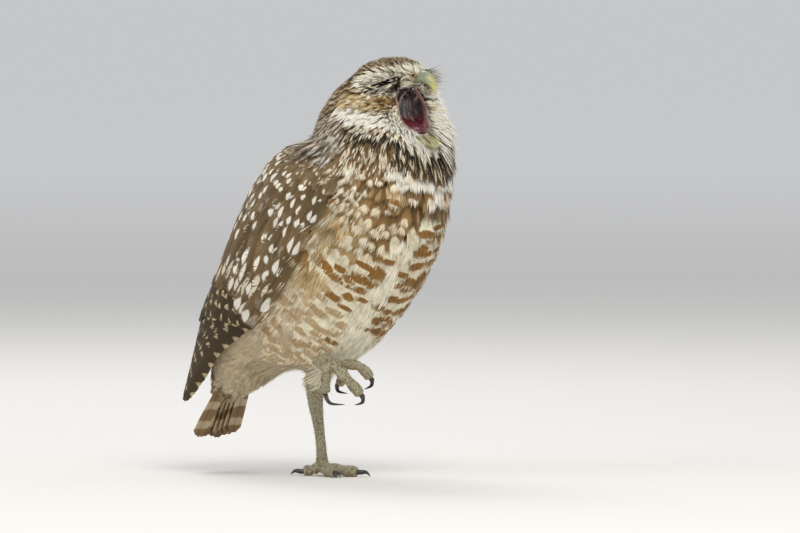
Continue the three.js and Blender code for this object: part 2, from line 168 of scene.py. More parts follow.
@dataclass(frozen=True)
class Loft:
    """Elliptical sections along a spine that leans in the midplane."""

    stations: tuple[tuple[float, ...], ...]

    def point(self, s: Array, psi: Array, lift: Array | float = 0.0) -> tuple[Array, Array]:
        """A point of the loft and its outward normal.

        The point is the spine's point plus depth times cos psi towards the back, plus width times
        sin psi towards the left, then raised along the normal.

        Args:
            s: the place along the spine, counted in stations.
            psi: degrees from the back over the left side.
            lift: height over the loft.

        Returns:
            Points and unit normals.
        """
        x, z, lean, depth, width = np.moveaxis(catmull(self.stations, s), -1, 0)
        psi = np.radians(psi)
        back, _ = leaning(lean)
        side = np.array([0.0, 1.0, 0.0])
        c, n = np.cos(psi)[..., None], np.sin(psi)[..., None]
        normal = unit(back * c / depth[..., None] + side * n / width[..., None])
        spine = beside(x, 0 * x, z)
        flesh = back * c * depth[..., None] + side * n * width[..., None]
        return spine + flesh + normal * np.asarray(lift)[..., None], normal

    def section(self, x: Array, z: Array, s: Array) -> tuple[Array, Array, Array, Array]:
        """How far places lie ahead of the sections at s and to the back in them, and the sizes."""
        x0, z0, lean, depth, width = catmull(self.stations, s).T
        lean = np.radians(lean)
        ahead = (x - x0) * np.sin(lean) + (z - z0) * np.cos(lean)
        return ahead, -(x - x0) * np.cos(lean) + (z - z0) * np.sin(lean), depth, width

    def reach(self, points: Array) -> Array:
        """How far points lie outside the loft, measured in their own section, roughly in mm."""
        steps = np.linspace(0, len(self.stations) - 1, 90)
        ahead = self.section(points[:, :1], points[:, 2:], steps)[0]
        passed = np.clip((ahead >= 0).sum(1) - 1, 0, len(steps) - 2)
        row = np.arange(len(points))
        g0, g1 = ahead[row, passed], ahead[row, passed + 1]
        part = np.clip(g0 / np.where(np.abs(g0 - g1) > 1e-9, g0 - g1, 1), 0, 1)
        s = steps[passed] + part * (steps[1] - steps[0])
        _, a, depth, width = self.section(points[:, 0], points[:, 2], s)
        rho = np.hypot(a / depth, points[:, 1] / width)
        q = np.hypot(a, points[:, 1])
        ends = np.maximum(-ahead[:, 0], ahead[:, -1])
        return np.maximum(q - q / np.maximum(rho, 1e-6), ends)


def stack_reach(points: Array) -> Array:
    """How far points lie outside the neck and head, measured in their own level section."""
    steps = np.linspace(0, len(POLL) - 1, 140)
    dense = catmull(POLL, steps)
    x, back, front, width, square = (
        np.interp(points[:, 2], dense[:, 0], dense[:, k]) for k in range(1, 6)
    )
    dx = points[:, 0] - x
    power = np.where(dx > 0, square, 2)
    along = np.abs(dx) / np.where(dx > 0, front, back)
    rho = (along**power + (np.abs(points[:, 1]) / width) ** power) ** (1 / power)
    q = np.hypot(dx, points[:, 1])
    ends = np.maximum(points[:, 2] - POLL[-1][0], POLL[0][0] - points[:, 2])
    return np.maximum(q - q / np.maximum(rho, 1e-6), ends)


def folded(points: Array) -> Array:
    """Points with the right side mirrored onto the left."""
    return beside(points[..., 0], np.abs(points[..., 1]), points[..., 2])


def swell_reach(points: Array, start: tuple, end: tuple, radii: tuple) -> Array:
    """How far points lie outside a round limb from start to end whose radius changes evenly."""
    a, b = np.array(start, float), np.array(end, float)
    t = np.clip(((points - a) @ (b - a)) / ((b - a) @ (b - a)), 0, 1)
    return np.linalg.norm(points - a - t[:, None] * (b - a), axis=1) - (
        radii[0] + (radii[1] - radii[0]) * t
    )


def line_reach(points: Array, path: tuple, radii: tuple) -> Array:
    """How far points lie outside a round band along a line, whose radius changes evenly."""
    radii = np.linspace(*radii, len(path))
    parts = zip(path, path[1:], zip(radii, radii[1:]))
    return np.minimum.reduce([swell_reach(points, *part) for part in parts])


def ball_reach(points: Array, centre: tuple, sizes: tuple, pitch: float, yaw: float) -> Array:
    """How far points lie outside an ellipsoid that is pitched up and then turned to the left."""
    x, y, z = (points - np.array(centre)).T
    x, y = pitched(x, y, yaw)
    x, z = pitched(x, z, pitch)
    local = beside(x, y, z)
    rho = np.linalg.norm(local / np.array(sizes), axis=1)
    size = np.linalg.norm(local, axis=1)
    return size - size / np.maximum(rho, 1e-6)


def blend_reach(one: Array, other: Array, soft: float) -> Array:
    """The nearer of two distances, rounded where they meet."""
    h = np.maximum(soft - np.abs(one - other), 0) / soft
    return np.minimum(one, other) - h * h * soft / 4


@dataclass
class Form:
    """The owl's whole form as a grid of distances to the outline of its coat.

    Below zero is inside. A value between the grid's points is a weighted mean of the eight round it.
    """

    low: Triple = (-96, -58, 14)
    high: Triple = (96, 58, 236)
    step: float = 2.0
    cells: Array = field(init=False, repr=False)

    def __post_init__(self) -> None:
        """Fills the grid with the distance, and beside it the distance's slope along x, y and z."""
        axes = [np.arange(a, b + self.step, self.step) for a, b in zip(self.low, self.high)]
        shape = [len(axis) for axis in axes]
        points = np.stack(np.meshgrid(*axes, indexing="ij"), -1).reshape(-1, 3)
        reach = np.concatenate([self._reach(part) for part in np.array_split(points, 24)])
        reach = reach.reshape(shape)
        slopes = np.gradient(reach, self.step)
        self.cells = beside(reach, *slopes)

    def _reach(self, points: Array) -> Array:
        """Distance to the trunk, neck, head, brows, lids, chin and feathered thighs, blended."""
        near = folded(points)
        whole = blend_reach(Loft(TRUNK).reach(points), stack_reach(points), 7.0)
        brow = swell_reach(near, (63, 5.5, 212), (45, 19.5, 212.5), (2.8, 3.4))
        lore = swell_reach(near, (59, 0, 210.6), (67.5, 0, 212), (8.8, 5.6))
        lid = ball_reach(near, (53.8, 16.8, 208.6), (5.2, 9.7, 8.8), 20, 41)
        chin = swell_reach(near, (64, 0, 176.5), (65, 9, 177), (6.5, 5.5))
        cheek = swell_reach(near, (50, 27.5, 193), (58, 24, 188), (6.0, 6.5))
        thigh = swell_reach(points, (4, 9, 78), (-4.5, 0.6, 50), (15, 6.0))
        drawn = swell_reach(points, (2, -12, 78), (9, -17.5, 67), (16, 7.5))
        parts = (brow, 3), (lore, 3), (lid, 2), (chin, 4), (cheek, 4), (thigh, 7), (drawn, 6)
        for part, soft in parts:
            whole = blend_reach(whole, part, soft)
        return whole

    def read(self, points: Array) -> tuple[Array, Array]:
        """Distances outside the coat's outline and their gradients at points of any shape (..., 3)."""
        flat = points.reshape(-1, 3)
        place = (flat - np.array(self.low)) / self.step
        top = np.array(self.cells.shape[:3]) - 2
        cell = np.clip(np.floor(place).astype(int), 0, top)
        t = np.clip(place - cell, 0, 1)
        total = np.zeros((len(flat), 4))
        for corner in np.ndindex(2, 2, 2):
            weight = np.prod(np.where(np.array(corner), t, 1 - t), axis=1)
            i, j, k = (cell + np.array(corner)).T
            total += self.cells[i, j, k] * weight[:, None]
        total = total.reshape(*points.shape[:-1], 4)
        return total[..., 0], total[..., 1:]

    def onto(self, points: Array, level: Array | float, steps: int = 4) -> Array:
        """Points moved along the gradient until they lie at a level over the outline."""
        for _ in range(steps):
            value, slope = self.read(points)
            size = np.maximum((slope**2).sum(-1), 0.05)
            points = points - slope * ((value - level) / size)[..., None]
        return points

    def normal(self, points: Array) -> Array:
        """Outward unit normals."""
        return unit(self.read(points)[1])


@dataclass
class Surface:
    """A mesh in the making: points in mm, four-sided faces, and what its points carry."""

    points: Array
    quads: Array
    carried: dict[str, Array] = field(default_factory=dict)
    bake: Array | None = None

    @staticmethod
    def joined(parts: list[Surface]) -> Surface:
        """Several surfaces as one."""
        starts = np.cumsum([0] + [len(part.points) for part in parts[:-1]])
        quads = np.concatenate([part.quads + start for part, start in zip(parts, starts)])
        keys = parts[0].carried.keys()
        carried = {key: np.concatenate([part.carried[key] for part in parts]) for key in keys}
        bake = None
        if parts[0].bake is not None:
            bake = np.concatenate([part.bake for part in parts])
        return Surface(np.concatenate([part.points for part in parts]), quads, carried, bake)

    def piece(self, name: str, slot: str, material: Material) -> bpy.types.Object:
        """Makes the mesh object, which rides on the root body and wears one material.

        Args:
            name: the piece's name.
            slot: the name of a material slot; not used.
            material: its finish.

        Returns:
            The object, at the origin, with its place in its mesh.
        """
        mesh = bpy.data.meshes.new(name)
        mesh.vertices.add(len(self.points))
        mesh.vertices.foreach_set("co", (self.points * MM).astype(np.float32).ravel())
        mesh.loops.add(self.quads.size)
        mesh.loops.foreach_set("vertex_index", self.quads.astype(np.int32).ravel())
        mesh.polygons.add(len(self.quads))
        mesh.polygons.foreach_set("loop_start", np.arange(0, self.quads.size, 4, dtype=np.int32))
        mesh.update(calc_edges=True)
        for key, values in self.carried.items():
            kind = "color" if values.shape[1] == 4 else "vector"
            layer = mesh.attributes.new(key, "FLOAT_" + kind.upper(), "POINT")
            layer.data.foreach_set(kind, values.astype(np.float32).ravel())
        if self.bake is not None:
            layer = mesh.uv_layers.new(name="OFBake")
            corners = self.bake[self.quads.ravel()].astype(np.float32)
            layer.data.foreach_set("uv", corners.ravel())
        mesh.validate()
        mesh.shade_smooth()
        made = bpy.data.objects.new(name, mesh)
        bpy.context.scene.collection.objects.link(made)
        made.data.materials.append(material)
        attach(made, "root")
        log.info("%s: %d faces", name, len(self.quads))
        return made


def grid_quads(rows: int, cols: int, around: bool = False) -> Array:
    """Faces of a grid of points whose row index runs slowest; around closes each row."""
    count = cols if around else cols - 1
    i, j = np.meshgrid(np.arange(rows - 1), np.arange(count), indexing="ij")
    k = (j + 1) % cols
    return beside(i * cols + j, i * cols + k, (i + 1) * cols + k, (i + 1) * cols + j).reshape(-1, 4)


def many_quads(one: Array, count: int, each: int) -> Array:
    """Faces of several alike sheets of so many points each, one after another."""
    return (one + (np.arange(count) * each)[:, None, None]).reshape(-1, 4)


class Shader:
    """A material in the making, with short calls for the nodes that it needs."""

    def __init__(self, name: str) -> None:
        """Starts an empty material with a principled surface."""
        self.material = bpy.data.materials.new(name)
        self.material.use_nodes = True
        self.tree = self.material.node_tree
        self.tree.nodes.clear()
        self.surface = self.tree.nodes.new("ShaderNodeBsdfPrincipled")
        output = self.tree.nodes.new("ShaderNodeOutputMaterial")
        self.tree.links.new(self.surface.outputs[0], output.inputs[0])

    def node(self, kind: str, inputs: dict | None = None, **settings: object) -> bpy.types.Node:
        """Adds a node, sets its properties, and sets or links its inputs."""
        made = self.tree.nodes.new("ShaderNode" + kind)
        for key, value in settings.items():
            setattr(made, key, value)
        for key, value in (inputs or {}).items():
            self.feed(made.inputs[key], value)
        return made

    def feed(self, socket: Socket, value: object) -> None:
        """Links a socket to another's output, or sets its value."""
        if isinstance(value, Socket):
            self.tree.links.new(value, socket)
        elif value is not None:
            socket.default_value = value

    def math(self, operation: str, *values: object) -> Socket:
        """The result of one sum on numbers or sockets."""
        return self.node("Math", dict(enumerate(values)), operation=operation).outputs[0]

    plus = partialmethod(math, "ADD")
    minus = partialmethod(math, "SUBTRACT")
    times = partialmethod(math, "MULTIPLY")
    over = partialmethod(math, "DIVIDE")
    size = partialmethod(math, "ABSOLUTE")
    power = partialmethod(math, "POWER")

    def steps(self, value: object, low: float, high: float, to: tuple = (0.0, 1.0)) -> Socket:
        """An s-curve of a value from low to high."""
        inputs = {"Value": value, "From Min": low, "From Max": high, "To Min": to[0], "To Max": to[1]}
        return self.node("MapRange", inputs, interpolation_type="SMOOTHSTEP").outputs[0]

    def mix(self, factor: object, one: object, other: object, blend: str = "MIX") -> Socket:
        """A colour between two, by a factor."""
        made = self.tree.nodes.new("ShaderNodeMix")
        made.data_type = "RGBA"
        made.blend_type = blend
        for index, value in ((0, factor), (6, one), (7, other)):
            if isinstance(value, tuple) and len(value) == 3:
                value = (*value, 1.0)
            self.feed(made.inputs[index], value)
        return made.outputs[2]

    def colour(self, name: str) -> Socket:
        """A colour that the mesh carries under a name."""
        return self.node("Attribute", attribute_name=name).outputs["Color"]

    def carried(self, name: str) -> list[Socket]:
        """Three numbers that the mesh carries under a name."""
        return self.split(self.node("Attribute", attribute_name=name).outputs["Vector"])

    def shade(self, colour: object, tone: Socket) -> Socket:
        """A colour made lighter or darker by a tone."""
        return self.mix(1.0, colour, self.vector(tone, tone, tone), "MULTIPLY")

    def split(self, vector: object) -> list[Socket]:
        """A vector's three numbers."""
        return list(self.node("SeparateXYZ", {0: vector}).outputs)

    def vector(self, *values: object) -> Socket:
        """A vector of three numbers."""
        return self.node("CombineXYZ", dict(enumerate(values))).outputs[0]

    def noise(self, at: object, scale: float, detail: float = 2.0, rough: float = 0.5) -> Socket:
        """A noise value at a place."""
        inputs = {"Vector": at, "Scale": scale, "Detail": detail, "Roughness": rough}
        return self.node("TexNoise", inputs).outputs[0]

    def place(self) -> Socket:
        """The object's own coordinates, in metres."""
        return self.node("TexCoord").outputs["Object"]

    def bump(self, height: object, distance: float, strength: float = 1.0) -> None:
        """Raises the surface by a height, over the bumps that it has."""
        before = self.surface.inputs["Normal"].links
        inputs = {"Height": height, "Distance": distance, "Strength": strength}
        if before:
            inputs["Normal"] = before[0].from_socket
        self.feed(self.surface.inputs["Normal"], self.node("Bump", inputs).outputs[0])

    def finish(self, colour: Socket, roughness: object, more: dict[str, float] | None = None) -> Material:
        """Sets the surface's colour, roughness and other named inputs, and hands the material over."""
        for key, value in {"Base Color": colour, "Roughness": roughness, **(more or {})}.items():
            self.feed(self.surface.inputs[key], value)
        return self.material


@dataclass(frozen=True)
class PlumageFinish:
    """Feathers: a ground colour, a marking laid out across each vane, fine barbs, painted root shade.

    A mesh in this finish carries, for each point, vane (place across from -1 to 1, place along from
    0 to 1, a number of the feather's own), spot (the marking's offset across and along, half width),
    row (half length, the distance between repeats, strength), ground and mark colours.
    """

    name: str
    barbs: float = 26.0
    roughness: float = 0.72
    relief: float = 0.00025
    missing: float = 0.0
    shaft: float = 0.0
    edge: float = 1.0

    def material(self) -> Material:
        """Builds the material."""
        sh = Shader(self.name)
        across, along, seed = sh.carried("vane")
        offset, start, wide = sh.carried("spot")
        long, repeat, strength = sh.carried("row")
        own = sh.vector(sh.times(across, 2.2), sh.times(along, 5.0), seed)
        wander = sh.minus(sh.noise(own, 1.0, 3.0), 0.5)
        du = sh.over(sh.minus(sh.size(across), offset), wide)
        past = sh.minus(along, start)
        turns = sh.math("ROUND", sh.over(past, repeat))
        dv = sh.over(sh.minus(past, sh.times(turns, repeat)), long)
        point = sh.steps(dv, -1.0, 1.0, (0.62, 1.3))
        du = sh.over(du, point)
        far = sh.math("SQRT", sh.plus(sh.power(du, 2.0), sh.power(dv, 2.0)))
        far = sh.plus(far, sh.times(wander, 0.9))
        mask = sh.times(sh.steps(far, 1.2, 0.75), strength)
        if self.missing:
            web = sh.vector(sh.math("SIGN", across), sh.times(seed, 3.7), turns)
            luck = sh.node("TexWhiteNoise", {"Vector": web}).outputs["Value"]
            mask = sh.times(mask, sh.math("GREATER_THAN", luck, self.missing))
        colour = sh.mix(mask, sh.colour("ground"), sh.colour("mark"))
        if self.shaft:
            line = sh.steps(sh.size(across), 0.09, 0.03, (0.0, self.shaft))
            colour = sh.mix(line, colour, (0.045, 0.03, 0.018))
        barb = sh.vector(
            sh.times(across, self.barbs / 3),
            sh.plus(sh.times(along, 2.5), sh.times(sh.size(across), -2.0)),
            seed,
        )
        strand = sh.noise(barb, 3.0, 3.0, 0.65)
        tone = sh.steps(strand, 0.25, 0.75, (0.72, 1.22))
        # Painted shade: each feather darkens towards its root, where the feathers over it would shade it.
        shade = sh.times(tone, sh.steps(along, 0.0, 0.6, (0.5, 1.0)))
        shade = sh.times(shade, sh.steps(sh.size(across), 0.6, 1.0, (1.0, self.edge)))
        colour = sh.shade(colour, shade)
        sh.bump(strand, self.relief, 0.6)
        more = {"Sheen Weight": 0.04, "Sheen Roughness": 0.5, "Specular IOR Level": 0.12}
        return sh.finish(colour, self.roughness, more)


class Marking(Enum):
    """How a marking lies on a feather: offset across, start along, half width, half length, repeat."""

    PLAIN = (0.0, 0.5, 0.3, 0.3, 9.0)
    TWIN_SPOTS = (0.5, 0.84, 0.34, 0.085, 0.33)
    ROUND_SPOTS = (0.43, 0.83, 0.36, 0.115, 9.0)
    SMALL_SPOTS = (0.4, 0.86, 0.24, 0.08, 9.0)
    BAR = (0.0, 0.78, 1.5, 0.12, 9.0)
    BROAD_TIP = (0.0, 0.9, 0.78, 0.22, 9.0)
    STREAK = (0.0, 0.74, 0.34, 0.3, 9.0)
    SHAFT = (0.0, 0.6, 0.18, 0.5, 9.0)
    NOTCHES = (0.95, 0.93, 0.46, 0.034, 0.19)
    FINE_STREAK = (0.0, 0.8, 0.2, 0.24, 9.0)
    BANDS = (0.0, 0.64, 3.0, 0.06, 0.22)


@dataclass(frozen=True)
class Plume:
    """The look of one kind of feather.

    It has a ground and a mark colour, a marking and its strength. vary is how much the light
    differs from feather to feather, and mixed the share of feathers with both colours swapped.
    """

    ground: Triple
    mark: Triple
    marking: Marking = Marking.PLAIN
    strength: float = 1.0
    vary: float = 0.12
    mixed: float = 0.0


CREAM = (0.66, 0.55, 0.37)
WHITE = (0.82, 0.77, 0.65)
WARM_WHITE = (0.90, 0.81, 0.61)
BUFF = (0.50, 0.36, 0.18)
RUFOUS = (0.30, 0.150, 0.038)
BROWN = (0.135, 0.088, 0.044)
BLACK = (0.014, 0.011, 0.009)
GREY = (0.26, 0.23, 0.18)


@dataclass(frozen=True)
class Patch:
    """A patch of one kind of feather: all that grows inside a ragged ellipsoid, alike left and right."""

    plume: Plume
    centre: Triple
    radii: Triple
    ragged: float = 0.12
    tilt: float = 0.0

    def holds(self, points: Array, draw: Array) -> Array:
        """Which points lie inside; tilt turns the ellipsoid about the side axis, front up."""
        near = folded(points) - self.centre
        x, z = pitched(near[:, 0], near[:, 2], self.tilt)
        far = np.linalg.norm(beside(x, near[:, 1], z) / self.radii, axis=1)
        return far < 1 + self.ragged * draw


@dataclass(frozen=True)
class Stroke:
    """A band of one kind of feather along a line of points, alike on both sides unless said."""

    plume: Plume
    path: tuple[Triple, ...]
    radii: tuple[float, float]
    ragged: float = 0.5
    both: bool = True

    def holds(self, points: Array, draw: Array) -> Array:
        """Which points lie within the radius of the line, give or take the raggedness in mm."""
        near = folded(points) if self.both else points
        return line_reach(near, self.path, self.radii) < self.ragged * draw


BELLY_PLUME = Plume(WARM_WHITE, RUFOUS, Marking.BAR, 1.0, 0.07)
FAINT_BELLY = Plume(WARM_WHITE, (0.45, 0.28, 0.115), Marking.BAR, 0.8, 0.07)
BACK_PLUME = Plume((0.165, 0.110, 0.053), WHITE, Marking.ROUND_SPOTS)
DOWN_PLUME = Plume((0.56, 0.46, 0.30), WARM_WHITE, Marking.PLAIN, 0.5, 0.1)
RUMP_PLUME = Plume((0.23, 0.145, 0.068), CREAM, Marking.BROAD_TIP, 0.4, 0.15)
SEAM_PLUME = Plume((0.92, 0.86, 0.69), WARM_WHITE, Marking.PLAIN, 0.5, 0.04)
FLANK_PLUME = Plume((0.52, 0.37, 0.18), CREAM, Marking.STREAK, 0.5, 0.14)
SIDE_PLUME = Plume((0.42, 0.29, 0.135), (0.76, 0.68, 0.52), Marking.BROAD_TIP, 1.0, 0.12)
BREAST_PLUME = Plume((0.28, 0.165, 0.065), (0.80, 0.70, 0.50), Marking.BROAD_TIP, 1.0, 0.18, 0.15)
TUFT_PLUME = Plume((0.25, 0.16, 0.075), (0.84, 0.75, 0.58), Marking.BROAD_TIP, 1.0, 0.2, 0.2)
NAPE_PLUME = Plume((0.15, 0.105, 0.062), (0.60, 0.54, 0.43), Marking.STREAK, 1.0, 0.22)
PALE_NAPE = Plume((0.25, 0.20, 0.14), (0.64, 0.60, 0.52), Marking.BROAD_TIP, 1.0, 0.2)
CROWN_PLUME = Plume((0.135, 0.086, 0.044), (0.72, 0.60, 0.40), Marking.FINE_STREAK, 1.0, 0.25)
FACE_PLUME = Plume((0.42, 0.34, 0.22), WHITE, Marking.STREAK, 0.9, 0.25, 0.2)
CHEEK_PLUME = Plume((0.42, 0.295, 0.145), (0.68, 0.58, 0.38), Marking.STREAK, 0.8, 0.28, 0.12)
DARK_CHEEK = Plume((0.17, 0.09, 0.035), (0.42, 0.27, 0.10), Marking.STREAK, 0.6, 0.3, 0.15)
WHITE_PLUME = Plume((0.92, 0.88, 0.78), (0.66, 0.60, 0.48), Marking.SHAFT, 0.3, 0.05)
BROW_PLUME = Plume((0.84, 0.79, 0.64), GREY, Marking.SHAFT, 0.5, 0.1, 0.05)
LID_PLUME = Plume((0.48, 0.44, 0.36), BLACK, Marking.SHAFT, 0.9, 0.2, 0.18)
LASH_PLUME = Plume((0.62, 0.55, 0.41), BLACK, Marking.SHAFT, 0.8, 0.2, 0.5)
LORE_PLUME = Plume((0.90, 0.83, 0.62), WHITE, Marking.SHAFT, 0.5, 0.06, 0.06)
STREAK_PLUME = Plume((0.76, 0.70, 0.56), (0.03, 0.02, 0.013), Marking.SHAFT, 0.8, 0.12, 0.48)
GULAR_PLUME = Plume((0.058, 0.036, 0.02), CREAM, Marking.SHAFT, 0.8, 0.25, 0.12)
BAND_PLUME = Plume((0.20, 0.115, 0.045), BUFF, Marking.STREAK, 0.6, 0.25, 0.12)

# Lines on the coat: the seam down the breast, jaw, both sides of the chin, upper lid and brow.
SEAM = ((69, -13, 131), (64, -15, 119), (57, -17, 107), (46, -18, 94), (34, -15, 80), (20, -10, 66))
JAW = ((40, 33.5, 194), (50, 34, 191.5), (60, 29, 189), (66, 20, 186), (73, 9, 181))
CHIN_RIGHT = ((52, -35, 184), (62, -30.5, 180.5), (69, -23, 175.5), (75.5, -11, 171))
CHIN_LEFT = ((52, 35, 181), (62, 31, 176), (69, 24, 171.5), (75.5, 11, 168.5))
UPPER_LID = ((50, 29, 207.5), (54.8, 22.5, 210.2), (58.5, 16, 212.4), (61, 11, 213.6))
BROW = ((46, 28, 209), (50.5, 24.5, 211.8), (57, 14.5, 215), (63, 3, 216))

# From the whole body to the smallest patch; a later one lies over those before it.
PATCHES = (
    Patch(BELLY_PLUME, (0, 0, 120), (200, 200, 200)),
    Patch(TUFT_PLUME, (50, 0, 204), (90, 80, 50)),
    Patch(FAINT_BELLY, (14, 36, 92), (26, 22, 27)),
    Patch(DOWN_PLUME, (-16, 0, 40), (74, 48, 36), 0.08, -8),
    Patch(DOWN_PLUME, (-24, 36, 72), (28, 24, 17)),
    Patch(RUMP_PLUME, (-72, 0, 82), (29, 32, 26), 0.1),
    Patch(RUMP_PLUME, (-80, 0, 50), (24, 30, 28), 0.1),
    Patch(FAINT_BELLY, (8, 28, 70), (22, 18, 11)),
    Stroke(SEAM_PLUME, SEAM, (5.5, 5), 0.6, False),
    Stroke(SEAM_PLUME, ((30, 6, 72), (12, 6, 62)), (10, 12), 1.0),
    Patch(SIDE_PLUME, (46, 38, 134), (16, 17, 17)),
    Stroke(FLANK_PLUME, ((44, 40, 136), (32, 43, 120), (20, 45, 106)), (5, 4.5), 2.0),
    Patch(BACK_PLUME, (-38, 0, 138), (58, 60, 62), 0.05),
    Patch(BREAST_PLUME, (62, 22, 140), (22, 22, 17)),
    Patch(BREAST_PLUME, (74, 0, 146), (16, 24, 9)),
    Patch(NAPE_PLUME, (14, 0, 178), (42, 60, 34), 0.05),
    Patch(TUFT_PLUME, (52, 37, 164), (17, 14, 16)),
    Patch(PALE_NAPE, (34, 36, 178), (11, 12, 9), 0.2),
    Patch(TUFT_PLUME, (66, 0, 164), (22, 34, 22)),
    Patch(FACE_PLUME, (52, 0, 200), (30, 45, 26), 0.08),
    Patch(CROWN_PLUME, (26, 0, 212), (40, 40, 23), 0.06, -30),
    Stroke(CROWN_PLUME, ((30, 24, 211), (42, 22, 216), (50, 14, 220.5), (56, 0, 222)), (9, 5.5), 0.7),
    Stroke(CHEEK_PLUME, ((40, -32, 199), (52, -29, 197.5), (60, -19, 197.5)), (6, 5), 0.8, False),
    Stroke(CHEEK_PLUME, ((40, 32, 198), (50, 30, 197)), (6, 4), 0.8, False),
    Stroke(DARK_CHEEK, ((51, -29, 200), (57, -23, 199.5), (61, -15, 199)), (2.2, 4.4), 0.9, False),
    Stroke(DARK_CHEEK, ((47, 33, 199), (53, 28, 199)), (2.2, 2.6), 0.9, False),
    Stroke(GULAR_PLUME, ((44, 36, 185), (57, 35, 181.5)), (3.4, 3.4), 0.8),
    Stroke(BAND_PLUME, ((60, 31, 152), (67, 24, 148), (73, 14, 145), (76, 0, 143)), (4, 4.5), 0.9),
    Stroke(WHITE_PLUME, ((69, 24, 161), (73.5, 14, 155.5), (76, 6, 153), (77, 0, 152)), (3.2, 5.2), 0.7),
    Stroke(GULAR_PLUME, ((69, 22, 171), (75, 12, 167), (78, 0, 165)), (5, 6.6), 0.8),
    Stroke(WHITE_PLUME, JAW, (3.4, 5), 0.4),
    Stroke(WHITE_PLUME, ((64, 19, 191), (67, 17, 181), (74, 6, 176)), (4.5, 6), 0.4),
    Stroke(WHITE_PLUME, ((61, 25, 194), (65, 23, 185), (72, 16, 177), (77, 5, 173)), (6, 5.5), 0.4, False),
    Stroke(STREAK_PLUME, CHIN_RIGHT, (2.6, 3.6), 0.4, False),
    Stroke(STREAK_PLUME, CHIN_LEFT, (2.6, 3.2), 0.4, False),
    Stroke(BROW_PLUME, BROW, (2.4, 3.0), 0.3),
    Stroke(LORE_PLUME, ((63, 4, 213.5), (62, 8, 208), (63, 12, 201), (64, 14.5, 193)), (3.4, 2.6), 0.4),
    Stroke(LID_PLUME, UPPER_LID, (1.6, 1.4), 0.4),
    Stroke(LASH_PLUME, ((48.5, 29.5, 202.8), (54, 25.5, 204.8), (58.2, 18, 206.4)), (2.2, 2.6), 0.5),
    Stroke(LID_PLUME, ((57, 20, 205.6), (61.5, 11.5, 207.6)), (2.4, 2.6), 0.5),
)


@dataclass
class Markings:
    """Says how the feathers that grow at given places look."""

    seed: int = 7

    def dress(self, roots: Array) -> dict[str, Array]:
        """The colours and the marking of each feather.

        Args:
            roots: where the feathers grow.

        Returns:
            For each feather its ground and mark colours, spot and row.
        """
        rng = np.random.default_rng(self.seed)
        draw = rng.normal(size=len(roots))
        chosen = np.zeros(len(roots), int)
        for k, patch in enumerate(PATCHES):
            chosen[patch.holds(roots, draw)] = k
        plumes = [patch.plume for patch in PATCHES]
        return self.of(plumes, chosen, rng)

    @staticmethod
    def of(plumes: list[Plume], chosen: Array, rng: np.random.Generator) -> dict[str, Array]:
        """The carried values of feathers whose plumes are chosen by index, each a little different."""
        count = len(chosen)
        ground = np.array([plume.ground for plume in plumes])[chosen]
        mark = np.array([plume.mark for plume in plumes])[chosen]
        mixed = np.array([plume.mixed for plume in plumes])[chosen]
        swap = (rng.random(count) < mixed)[:, None]
        vary = np.array([plume.vary for plume in plumes])[chosen]
        strength = np.array([plume.strength for plume in plumes])[chosen]
        strength = strength * np.where(swap[:, 0], 0.25, 1.0)
        layout = np.array([plume.marking.value for plume in plumes])[chosen]
        ground, mark = np.where(swap, mark, ground), np.where(swap, ground, mark)
        light = np.exp(rng.normal(size=(count, 1)) * vary[:, None])
        wobble = rng.normal(size=(count, 3))
        spot = layout[:, :3] * (1 + wobble * np.array([0.1, 0.03, 0.18]))
        row = beside(layout[:, 3] * np.exp(0.2 * wobble[:, 0]), layout[:, 4], strength)
        full = np.ones((count, 1))
        return {
            "ground": np.concatenate([np.clip(ground * light, 0, 0.95), full], 1),
            "mark": np.concatenate([np.clip(mark * light**0.4, 0, 0.95), full], 1),
            "spot": spot,
            "row": row,
        }


SLIT = ((61.6, 10.6, 212.4), (49.6, 29, 203.6))


def heading(points: Array) -> Array:
    """The lie of the coat.

    It runs away from the bill on the head, and down and back over the body. Near a closed eye it
    runs along the slit and parts from it.
    """
    bill = np.array([70.0, 0.0, 204.0])
    away = unit(points - bill)
    side = np.where(points[..., 1:2] < 0, -1.0, 1.0) * np.array([0, 1, 0]) + np.array([1, 0, 1])
    inner, outer = side * SLIT[0], side * SLIT[1]
    along = unit(outer - inner)
    run = np.clip(((points - inner) * along).sum(-1, keepdims=True), 0, 22)
    off = points - inner - along * run
    near = np.exp(-((np.linalg.norm(off, axis=-1, keepdims=True) / 5.0) ** 2))
    away = unit(away * (1 - near) + (along + 0.45 * unit(off)) * near)
    _, up = leaning(np.interp(points[..., 2], (40, 90, 140, 165, 180), (62, 42, 36, 14, 4)))
    head = smooth(166, 190, points[..., 2])[..., None]
    return unit(head * away - (1 - head) * up)


def worn(dress: dict[str, Array], each: int) -> dict[str, Array]:
    """What feathers carry, repeated for each one's points."""
    return {key: np.repeat(values, each, axis=0) for key, values in dress.items()}


def on_patch(vane: Array) -> Array:
    """Places on a feather's patch of the unwrap, from the middle, for places across and along it."""
    return beside(vane[..., 0] * 0.5, vane[..., 1] - 0.5) * BAKE_PATCH


@dataclass
class Growth:
    """A field of small feathers: their size, split and lift.

    spacing is the distance between rows and between feathers in a row, tall how many times as long
    a feather is as its spacing, wide how many times as wide. strips is how many strands of barbs a
    feather has, each a narrow strip of faces from root to tip and barb times as wide as its share.
    sunk is how deep the roots lie, stand how far the tips stand over the coat's outline, loose how
    much feathers and strands go astray, and fray how uneven the strands' ends are.
    """

    spacing: float
    tall: float = 3.0
    wide: float = 1.5
    strips: int = 9
    rows: int = 5
    sunk: float = 2.6
    stand: float = 0.3
    loose: float = 0.5
    fray: float = 0.08
    barb: float = 1.3


